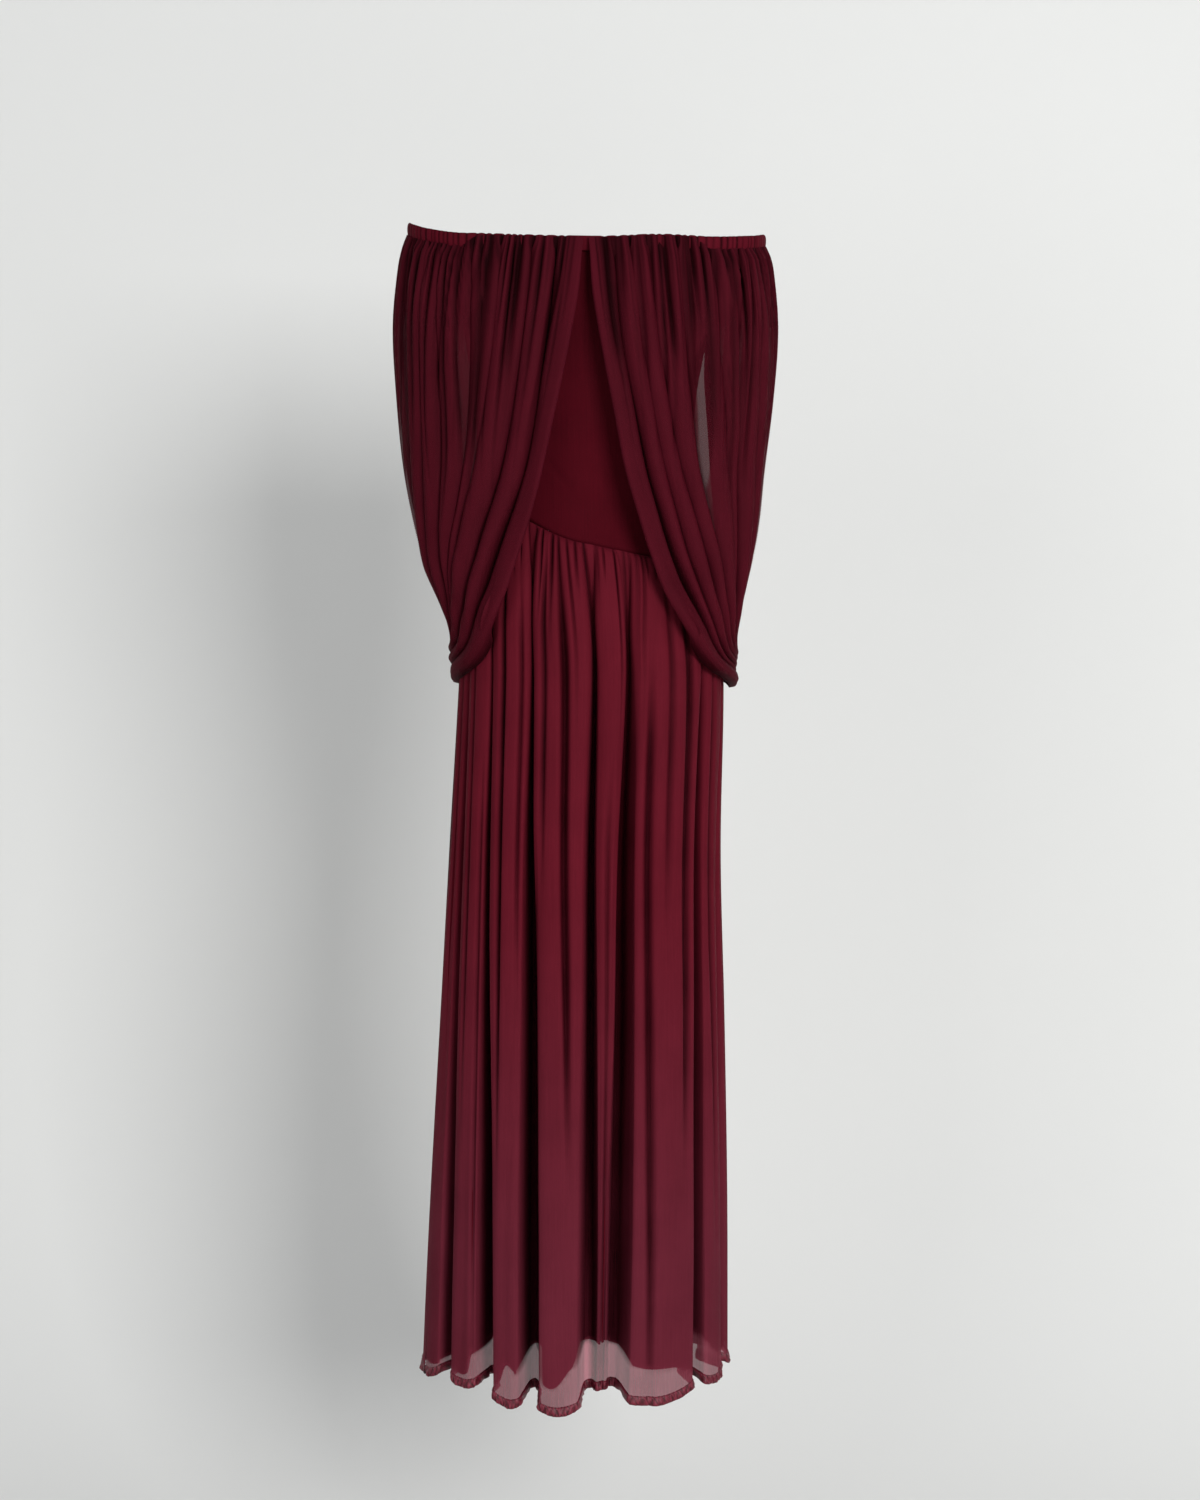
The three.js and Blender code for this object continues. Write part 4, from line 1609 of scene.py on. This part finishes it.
@dataclass(eq=False)
class Drape:
    """A long strip of mesh, gathered on the neckline, turned under at the wrist and taken back up.

    Pitches are shares of its width. Starts, ends and spans are shares of its length or, where their numbers
    are above 1, millimetres below the gathering stitch or the band's top edge.
    """

    side: Side
    valleys: tuple[Valley, ...]
    creases: tuple[DrapeCrease, ...]
    mesh: bpy.types.Material
    thread: bpy.types.Material
    edge: Profile = STRAIGHT_EDGE
    sheer: tuple[SheerPatch, ...] = ()
    rows_per_half: int = 120
    columns_across: float = 300.0
    gather_pitch: float = 0.036
    gather_lengths: tuple[float, float] = (60.0, 430.0)
    gather_height: float = 6.6
    pleat_pitch: float = 0.0155
    pleat_lengths: tuple[float, float] = (70.0, 470.0)
    pleat_depth: float = 2.8
    skews: tuple[float, float] = (0.72, 1.5)
    tuck: float = 14.0
    tuck_at_gathers: float = 1.6
    over_band: float = 3.3
    over_band_fold: float = 0.6
    over_band_span: tuple[float, float] = (4.0, 28.0)
    stitch_pitch: float = 2.1
    stitch_length: float = 4.6
    stitch_radius: float = 0.32
    stitch_slant: float = 0.45
    stitch_rise: float = 0.15
    stitch_columns: tuple[int, int] = (-7, -3)
    stitches: bpy.types.Object | None = None
    flap_width: float = 14.0
    flap_depth: float = 6.0
    flap_at_band: float = 0.25
    flap_at_turn: float = 0.2
    flap_growth: float = 0.12
    flap_shrinking: tuple[float, float] = (0.78, 0.98)
    closing: float = 0.1
    outer_rise: float = 0.3
    outer_rise_start: float = 0.86
    edge_closing: tuple[float, float] = (0.72, 0.92)
    fold_edge: float = 0.4
    fold_roundness: float = 0.45
    fold_steepness: float = 0.62
    fold_least: float = 0.5
    full_height: float = 13.0
    degree: float = 3.0
    spare_degrees: float = 8.0
    facing: float = 1.6
    cover: float = 0.93
    dense_cover: float = 1.0
    dense_span: tuple[float, float] = (40.0, 110.0)
    gather_reach: float = 0.3
    gather_depth: float = 1.3
    gather_least: float = 0.3
    gather_start: float = 14.0
    gather_end: float = 520.0
    flat_at_band: float = 0.2
    flat_reach: float = 16.0
    ripple_height: float = 0.7
    crease_fading: float = 0.4
    # The next three set the painted shade in the pleats, the gathers and the valleys.
    pleat_shade: float = 0.7
    trough_shade: float = 0.95
    valley_light: float = 0.2
    valley_sink: float = 9.0
    seed: int = 31

    def columns(self) -> Array:
        """Spaces the strip's columns, with more of them on the broader folds.

        Returns:
            Fold positions across the strip.
        """
        edges = [0.0, *(v.middle for v in self.valleys), 1.0]
        steps = [max(12, round(self.columns_across * (b - a))) for a, b in zip(edges, edges[1:])]
        return np.concatenate([k + np.arange(n) / n for k, n in enumerate(steps)] + [[len(steps)]])

    def shape(self, fold: Array, v: Array) -> tuple[Array, Array, Array, Array]:
        """Places the strip.

        Args:
            fold: fold positions across the strip, from 0 at its inner edge.
            v: shares along it, 0 at the back neckline, 1 at the turn and 2 at the front neckline.

        Returns:
            The points, the share of the width where each is, how near it is to a fold's top and how far
            below the gathering stitch.
        """
        fold, v = np.broadcast_arrays(fold, v)
        at = np.where(v <= 1.0, v, 2.0 - v)
        zero = np.zeros_like(at)
        valleys = [row.profile().at("place", at) for row in self.valleys]
        lines = np.stack([self.edge.at("place", at), *valleys, zero + 1.0])
        depths = np.array([1.0, *(row.depth for row in self.valleys), 1.0])
        k = np.minimum(fold.astype(int), len(self.valleys))
        p = fold - k
        low = np.take_along_axis(lines, k[None], 0)[0]
        high = np.take_along_axis(lines, k[None] + 1, 0)[0]
        skew = np.random.default_rng(self.seed + 90).uniform(*self.skews, len(self.valleys) + 1)[k]
        half_fold = np.where(k == 0, 0.5 + 0.5 * p, 0.5 * p)
        ended = mix(half_fold, p, ramp(at, *self.edge_closing))
        place = np.where((k == 0) | (k == len(self.valleys)), ended, p**skew)
        top = fold_height(place, self.fold_edge, self.fold_roundness)
        across = mix(low, high, p - self.closing * np.sin(2.0 * np.pi * p))
        inner, outer = DRAPE_PATH.at("inner_angle", at), DRAPE_PATH.at("outer_angle", at)
        angle = mix(inner, outer, across)
        angle = np.where(v > 1.0, 180.0 - angle, angle)
        gathered = np.maximum(0.0, 1.0 - at / self.gather_reach) ** 2
        straight = mix(DRAPE_PATH.at("inner_z", at), DRAPE_PATH.at("outer_z", at), across)
        first = mix(DRAPE_PATH.at("inner_z", zero), DRAPE_PATH.at("outer_z", zero), across)
        neckline = NECKLINE.turned("z", self.side.value * angle)
        under_band = neckline - mix(self.tuck, self.tuck_at_gathers, ruched(angle))
        z = straight + (under_band - first) * gathered
        points = around(CAPE, angle, z)
        mid = CAPE.at("mid", z)
        points[..., 0] = mid + self.side.value * (points[..., 0] - mid)
        out = np.stack([points[..., 0] - mid, points[..., 1] * self.facing, zero], -1)
        height = DRAPE_PATH.at("height", at)
        breadth = (high - low) * (outer - inner + self.spare_degrees) * self.degree
        rise = np.minimum(height, self.fold_steepness * breadth + self.fold_least)
        rise = rise * mix(1.0, self.outer_rise, ramp(across, self.outer_rise_start, 1.0))
        sink = mix(depths[k], depths[k + 1], p) * self.valley_sink * height / self.full_height
        below = np.maximum(under_band - z, 0.0)
        lift = mix(-sink, rise, top) * mix(self.flat_at_band, 1.0, smooth(below / self.flat_reach))
        over = ruched(angle) * (1.0 - ramp(neckline - z, *self.over_band_span))
        lift = mix(lift, self.over_band + self.over_band_fold * top, over)
        return points + unit(out) * lift[..., None], across, top, below

    def detail(self, across: Array, v: Array, below: Array) -> tuple[Array, Array]:
        """The gathers and creases on the folds.

        Args:
            across: the shares of the width.
            v: the shares of the length.
            below: the distances below the gathering stitch.

        Returns:
            How far to lift the cloth, in millimetres, and how deep in a gather or crease it is, which sets
            the painted shade there.
        """
        at = np.where(v <= 1.0, v, 2.0 - v)
        troughs, pleats = np.zeros_like(across), np.zeros_like(across)
        for back in (True, False):
            here = (v <= 1.0) == back
            troughs = np.where(here, self.gathers(back).troughs(across, below), troughs)
            pleats = np.where(here, self.fine_pleats(back).troughs(across, below), pleats)
        rise = mix(self.gather_least, 1.0, 1.0 - np.exp(-below / self.gather_start))
        fade = 1.0 - smooth(below / self.gather_end)
        gathered = self.gather_height * (1.0 - self.gather_depth * troughs)
        lift = (gathered - self.pleat_depth * pleats) * rise * fade
        for crease in self.creases:
            centre = crease.place.profile().at("place", at)
            inside = 1.0 - ramp(at, (1.0 - self.crease_fading) * crease.end, crease.end)
            trough = inside * bell(across, centre, crease.width)
            lift = lift - crease.depth * trough
            pleats = np.maximum(pleats, trough)
        lift = lift + self.ripple_height * Ripple(self.seed + 3, 6, 2.0, 9.0).at(across, v)
        return lift, np.clip(troughs + self.pleat_shade * pleats, 0.0, 1.0) * np.sqrt(fade)

    def gathers(self, back: bool) -> Gathers:
        """The gathers along the back or the front neckline."""
        return Gathers(self.seed + (0 if back else 7), 0.0, 1.0, self.gather_pitch, self.gather_lengths)

    def fine_pleats(self, back: bool) -> Gathers:
        """The finer and longer pleats between them."""
        return Gathers(self.seed + (20 if back else 27), 0.0, 1.0, self.pleat_pitch, self.pleat_lengths)

    def build(self) -> bpy.types.Object:
        """Builds the strip, with the flap that is folded under along its inner edge.

        Returns:
            The strip.
        """
        fold = self.columns()
        v = np.linspace(0.0, 2.0, 2 * self.rows_per_half + 1)
        points, across, top, below = self.shape(fold[None, :], v[:, None])
        along = v[:, None] + 0.0 * across
        lift, troughs = self.detail(across, along, below)
        order = points if self.side is Side.RIGHT else points[:, ::-1]
        normal = outward(order)
        normal = normal if self.side is Side.RIGHT else normal[:, ::-1]
        points = points + normal * lift[..., None]
        # Painted shade in the valleys between folds and in the gathers' troughs.
        crest = mix(self.valley_light, 1.0, top) * (1.0 - self.trough_shade * troughs)
        cover = mix(self.dense_cover, self.cover, ramp(below, *self.dense_span))
        for patch in self.sheer:
            cover = mix(cover, patch.cover, patch.share(across, along))
        self.sew_edge(points, normal)
        flap = self.flap(points, normal, self.flap_size(1.0 - np.abs(1.0 - v)))
        points = np.concatenate([flap, points], 1)
        crest = np.concatenate([np.repeat(crest[:, 2:3], flap.shape[1], 1), crest], 1)
        cover = np.concatenate([np.repeat(cover[:, 2:3], flap.shape[1], 1), cover], 1)
        if self.side is Side.LEFT:
            points, crest, cover = points[:, ::-1], crest[:, ::-1], cover[:, ::-1]
        side = self.side.name.lower()
        piece = Cloth(f"{side}_drape_mesh", points, cover, crest).build(self.mesh)
        fasten(piece, [f"drape_{side}"])
        return piece

    def sew_edge(self, points: Array, normal: Array) -> None:
        """Overlocks the strip's outer edge with slanting stitches, a little inside it.

        Args:
            points: the strip's grid, its inner edge first.
            normal: the directions out of the cloth.
        """
        inner, sewn = self.stitch_columns
        outwards = unit(points[:, sewn] - points[:, inner])
        line = np.concatenate([points[:, sewn], normal[:, sewn], outwards], -1)
        places, along = even_places(line, self.stitch_pitch)
        line, out, beyond = np.split(places, 3, axis=-1)
        line = line + self.stitch_rise * out
        lay = beyond + self.stitch_slant * along
        name = f"{self.side.name.lower()}_drape_overlock"
        row = StitchRow(name, line, out, lay, self.stitch_length, self.stitch_radius, self.thread)
        self.stitches = row.build()
        fasten(self.stitches)

    def flap_size(self, at: Array) -> Array:
        """How large the rolled inner edge is at each share of the way from the neckline to the turn."""
        grown = mix(self.flap_at_band, 1.0, smooth(at / self.flap_growth))
        return grown * mix(1.0, self.flap_at_turn, ramp(at, *self.flap_shrinking))

    def flap(self, points: Array, normal: Array, size: Array) -> Array:
        """Rolls the strip's inner edge under with a soft round fold.

        Args:
            points: the strip's grid, its inner edge first.
            normal: the directions out of the cloth.
            size: the fold's size in each row, 1 for its full size.

        Returns:
            The points of the flap, up to the strip's first column.
        """
        edge = points[:, :1]
        beyond = unit(points[:, :1] - points[:, 2:3])
        inwards = -normal[:, 3:4]
        turn = np.linspace(math.pi, 0.0, 8)[None, :-1, None]
        radius = self.flap_depth / 2.0 * size[:, None, None]
        roll = edge + inwards * radius * (1.0 - np.cos(turn)) + beyond * radius * np.sin(turn)
        back = np.linspace(1.0, 0.0, 5)[None, :-1, None]
        under = edge + inwards * 2.0 * radius - beyond * back * self.flap_width * size[:, None, None]
        return np.concatenate([under, roll], 1)


@dataclass
class Bodice:
    """The fitted jersey bodice, in two panels."""

    form: SkirtForm
    jersey: bpy.types.Material
    columns_per_fold: int = 17
    rows: int = 56
    tone: float = 0.55
    thickness: float = 0.9
    join_angle: float = 40.0
    dip_angle: float = 72.0
    underarm_z: float = -112.0
    lean_full_angle: float = 35.0
    lean_end_angle: float = 60.0
    lean_share: float = 0.25
    lean_start: float = 0.05
    behind_band: float = 3.0
    below_band_edge: float = 8.0
    seam_overlap: float = 0.2
    roll_height: float = 1.5
    roll_above_seam: float = 2.2
    roll_width: float = 1.6
    seam_pinch: float = 1.0
    seam_pinch_reach: float = 0.8
    pull_height: float = 0.9
    pucker_depth: float = 1.6
    pucker_angle: float = -12.0
    pucker_z: float = -291.0
    pucker_width: float = 4.5
    pucker_length: float = 12.0
    pucker_across: tuple[float, float] = (1.0, 0.8)
    pucker_along: tuple[float, float] = (0.6, -0.5)
    row_bias: float = 0.85
    degree: float = 1.9
    seed: int = 71

    def build(self) -> dict[str, bpy.types.Object]:
        """Builds both panels.

        Returns:
            The panels by name.
        """
        pieces: dict[str, bpy.types.Object] = {}
        for half in Half:
            side = half.name.lower()
            first, last = half.value
            u = np.linspace(first, last, round(self.columns_per_fold * (last - first)) + 1)
            angle = self.form.seam_angle(u)
            t = np.linspace(0.0, 1.0, self.rows + 1) ** self.row_bias
            points = self.place(*np.broadcast_arrays(angle[None, :], t[:, None]))
            piece = Cloth(f"{side}_bodice", points, crest=self.tone).build(self.jersey)
            thicken(piece, self.thickness)
            fasten(piece, [f"bodice_{side}"])
            pieces[f"bodice_{side}"] = piece
        return pieces

    def place(self, angle: Array, t: Array) -> Array:
        """Places the panels' cloth, with its seam roll and a few drag lines.

        Args:
            angle: the angles round the body.
            t: shares of the height, 0 at the top edge.

        Returns:
            The points, in millimetres.
        """
        away = from_centre(angle)
        dip = ramp(away, self.join_angle, self.dip_angle)
        top = mix(NECKLINE.turned("z", angle) - self.below_band_edge, self.underarm_z, dip)
        seam = WAIST_SEAM.turned("z", angle) + self.seam_overlap
        z = mix(top, seam, t)
        points = around(TORSO, angle, z)
        high = smooth(1.0 - (t - self.lean_start) / self.lean_share)
        central = 1.0 - ramp(away, self.lean_full_angle, self.lean_end_angle)
        points[..., 1] = mix(points[..., 1], self.behind(points), high * central)
        above = z - seam
        roll = self.roll_height * bell(above, self.roll_above_seam, self.roll_width)
        pinch = self.seam_pinch * np.exp(-above / self.seam_pinch_reach)
        drag = Ripple(self.seed, 6, 0.008, 0.035, 1.2).at(angle, t)
        pull = self.pull_height * drag * np.sin(np.pi * np.clip(t, 0.0, 1.0))
        return points + outward(points) * (roll - pinch + pull - self.pucker(angle, z))[..., None]

    def behind(self, points: Array) -> Array:
        """Where the cloth lies just inside the band's ring.

        Args:
            points: places on the bodice.

        Returns:
            Their Y, moved to the inner side of the band.
        """
        share = np.minimum(np.abs(points[..., 0] / BAND.half), 1.0)
        depth = (1.0 - share ** (2.0 / SQUARENESS)) ** (SQUARENESS / 2.0)
        front = BAND.front * depth - self.behind_band
        return np.where(points[..., 1] > 0, front, self.behind_band - BAND.back * depth)

    def pucker(self, angle: Array, z: Array) -> Array:
        """The short slanting pucker above the waist seam.

        Args:
            angle: the angles round the body.
            z: the heights.

        Returns:
            Its depth, in millimetres.
        """
        right = (angle - self.pucker_angle) * self.degree
        up = z - self.pucker_z
        across = self.pucker_across[0] * right + self.pucker_across[1] * up
        along = self.pucker_along[0] * right + self.pucker_along[1] * up
        return self.pucker_depth * bell(across, 0.0, self.pucker_width) * bell(along, 0.0, self.pucker_length)


@dataclass
class NeckBand:
    """The elasticated casing round the neckline, ruched at the back and front and plain over the arms."""

    casing: bpy.types.Material
    drapes: tuple[Drape, Drape]
    columns: int = 900
    section_points: int = 18
    height: float = 16.0
    thickness: float = 3.4
    fullness: float = 0.25
    edge_power: float = 0.8
    plain_swell: float = 0.5
    plain_notch: float = 0.3
    ruched_notch: float = 1.3
    even_pleat: float = 0.6
    pleats_at: float = 4.0

    def build(self) -> bpy.types.Object:
        """Builds the band as a closed flat tube.

        Returns:
            The band.
        """
        angle = np.linspace(-180.0, 180.0, self.columns, endpoint=False)
        across = signed_power(np.sin(np.radians(angle)), SQUARENESS)
        depth = signed_power(np.cos(np.radians(angle)), SQUARENESS)
        reach = np.where(depth > 0, BAND.back, BAND.front)
        middle = NECKLINE.at("z", angle) - self.height / 2.0
        ring = np.stack([BAND.half * across, -reach * depth, middle], -1)
        level = np.roll(ring, -1, 0) - np.roll(ring, 1, 0)
        normal = unit(np.cross(np.array([0.0, 0.0, -1.0]), level))
        pleats, covered = self.pleats(angle), ruched(angle)
        turn = np.linspace(0.0, 2.0 * np.pi, self.section_points, endpoint=False)[:, None]
        fall, out = -np.cos(turn), np.sin(turn)
        full = self.thickness / 2.0 * (1.0 + self.fullness * smooth(0.5 - 0.5 * fall))
        swell = mix(self.plain_swell, 0.0, covered) * (1.0 - pleats) * np.maximum(out, 0.0)
        notch = mix(self.plain_notch, self.ruched_notch, covered) * (self.even_pleat - pleats)
        points = ring[None] + normal[None] * (out * full + swell)[..., None]
        points[..., 2] -= self.height / 2.0 * signed_power(fall, self.edge_power)
        points[..., 2] += notch * np.maximum(-fall, 0.0)
        # Painted shade in the drapes' gathers on the band.
        crest = np.broadcast_to(1.0 - pleats, points.shape[:2])
        piece = Cloth("neckline_band", points, crest=crest, ring=True, tube=True).build(self.casing)
        fasten(piece, ["neck_band"])
        return piece

    def pleats(self, angle: Array) -> Array:
        """How deep the drapes' gathers are at the band.

        Args:
            angle: the angles round the band.

        Returns:
            0 between them to 1 in a deep one.
        """
        depth = np.zeros_like(angle)
        inner, outer = DRAPE_PATH.at("inner_angle", 0.0), DRAPE_PATH.at("outer_angle", 0.0)
        for drape in self.drapes:
            own = angle * drape.side.value
            for back in (True, False):
                turned = own if back else 180.0 - own
                share = (turned - inner) / (outer - inner)
                here = drape.gathers(back).troughs(share, np.full_like(share, self.pleats_at))
                depth = np.where((share >= 0.0) & (share <= 1.0), np.maximum(depth, here), depth)
        return depth


@dataclass(frozen=True)
class Softbox:
    """A square soft light that faces a point, in metres and watts."""

    name: str
    place: Place
    aim: Place
    size: float
    power: float

    def hang(self) -> None:
        """Hangs the light."""
        data = bpy.data.lights.new(self.name, "AREA")
        data.size = self.size
        data.energy = self.power
        light = placed(self.name, data)
        light.location = self.place
        light.rotation_euler = (Vector(self.aim) - Vector(self.place)).to_track_quat("-Z", "Y").to_euler()


SOFTBOXES = (
    Softbox("key", (2.0, -4.5, 0.4), (0.0, 0.0, -0.7), 1.9, 198.0),
    Softbox("fill", (-3.2, -4.2, -0.2), (0.0, 0.0, -0.8), 3.0, 66.0),
    Softbox("side", (3.2, -1.9, -0.2), (0.0, 0.0, -0.7), 1.4, 16.0),
)


@dataclass
class Studio:
    """The camera, the light and the pale ground, in metres."""

    camera_place: Place = (0.022, -3.0, -0.543)
    camera_aim: Place = (0.022, 0.0, -0.6)
    camera_roll: float = 0.66
    lens: float = 62.6
    sensor: float = 36.0
    floor_z: float = -1.66
    floor_near: float = -6.0
    wall_y: float = 0.85
    wall_top: float = 3.6
    bend: float = 0.7
    bend_points: int = 14
    half_width: float = 5.5
    sky: Colour = (0.93, 0.96, 1.0)
    sky_strength: float = 0.46
    ground: StageFinish = StageFinish()

    def build(self) -> None:
        """Builds all of it."""
        self.camera()
        self.backdrop()
        self.lights()

    def camera(self) -> None:
        """The camera at the photograph's viewing angle."""
        data = bpy.data.cameras.new("view")
        data.lens = self.lens
        data.sensor_width = self.sensor
        camera = placed("view", data)
        place, aim = Vector(self.camera_place), Vector(self.camera_aim)
        forward = (aim - place).normalized()
        right = forward.cross(Vector((0.0, 0.0, 1.0))).normalized()
        up = right.cross(forward)
        c, s = math.cos(math.radians(self.camera_roll)), math.sin(math.radians(self.camera_roll))
        right, up = right * c + up * s, up * c - right * s
        turn = Matrix((right, up, -forward)).transposed().to_4x4()
        camera.matrix_world = Matrix.Translation(place) @ turn
        bpy.context.scene.camera = camera

    def backdrop(self) -> None:
        """A floor that curves up into a wall."""
        foot = self.wall_y - self.bend
        side = [(self.floor_near, self.floor_z), (foot, self.floor_z)]
        for turn in np.linspace(0.0, math.pi / 2.0, self.bend_points)[1:]:
            rise = self.bend * (1.0 - math.cos(turn))
            side.append((foot + self.bend * math.sin(turn), self.floor_z + rise))
        side.append((self.wall_y, self.wall_top))
        vertices = [(x, y, z) for x in (-self.half_width, self.half_width) for y, z in side]
        count = len(side)
        faces = [(i, i + count, i + count + 1, i + 1) for i in range(count - 1)]
        mesh = bpy.data.meshes.new("pale_ground")
        mesh.from_pydata(vertices, [], faces)
        mesh.polygons.foreach_set("use_smooth", [True] * len(faces))
        mesh.materials.append(self.ground.material())
        placed("pale_ground", mesh)

    def lights(self) -> None:
        """A soft key from the right, a weaker fill from the left, a small side light and an even sky."""
        for softbox in SOFTBOXES:
            softbox.hang()
        world = bpy.data.worlds.new("sky")
        bpy.context.scene.world = world
        world.use_nodes = True
        sky = world.node_tree.nodes["Background"]
        sky.inputs["Color"].default_value = (*self.sky, 1.0)
        sky.inputs["Strength"].default_value = self.sky_strength
        bpy.context.scene.view_settings.view_transform = "Standard"


def declare_sheets(
) -> None:
    """Goes through the back and the front halves, and does nothing with them.
    """
    for half in Half:
        side = half.name.lower()


def main() -> None:
    """Builds the dress and its studio."""
    logging.basicConfig(level=logging.INFO, format="%(name)s: %(message)s")
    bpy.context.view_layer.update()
    Studio().build()
    mesh, jersey = MESH_FINISH.material(), JERSEY_FINISH.material()
    draped = DRAPE_FINISH.material()
    casing, hemming = CASING_FINISH.material(), HEM_FINISH.material()
    thread = ThreadFinish().material()
    form = SkirtForm()
    skirt = Skirt(form, mesh, jersey, hemming, thread)
    skirt_pieces = skirt.build()
    bodice = Bodice(form, jersey).build()
    left = Drape(Side.LEFT, LEFT_VALLEYS, LEFT_CREASES, draped, thread)
    right = Drape(
        Side.RIGHT, RIGHT_VALLEYS, RIGHT_CREASES, draped, thread, edge=RIGHT_EDGE, sheer=RIGHT_SHEER, seed=47
    )
    drapes = {drape: drape.build() for drape in (left, right)}
    band = NeckBand(casing, (left, right)).build()
    declare_sheets()


if __name__ == "__main__":
    main()
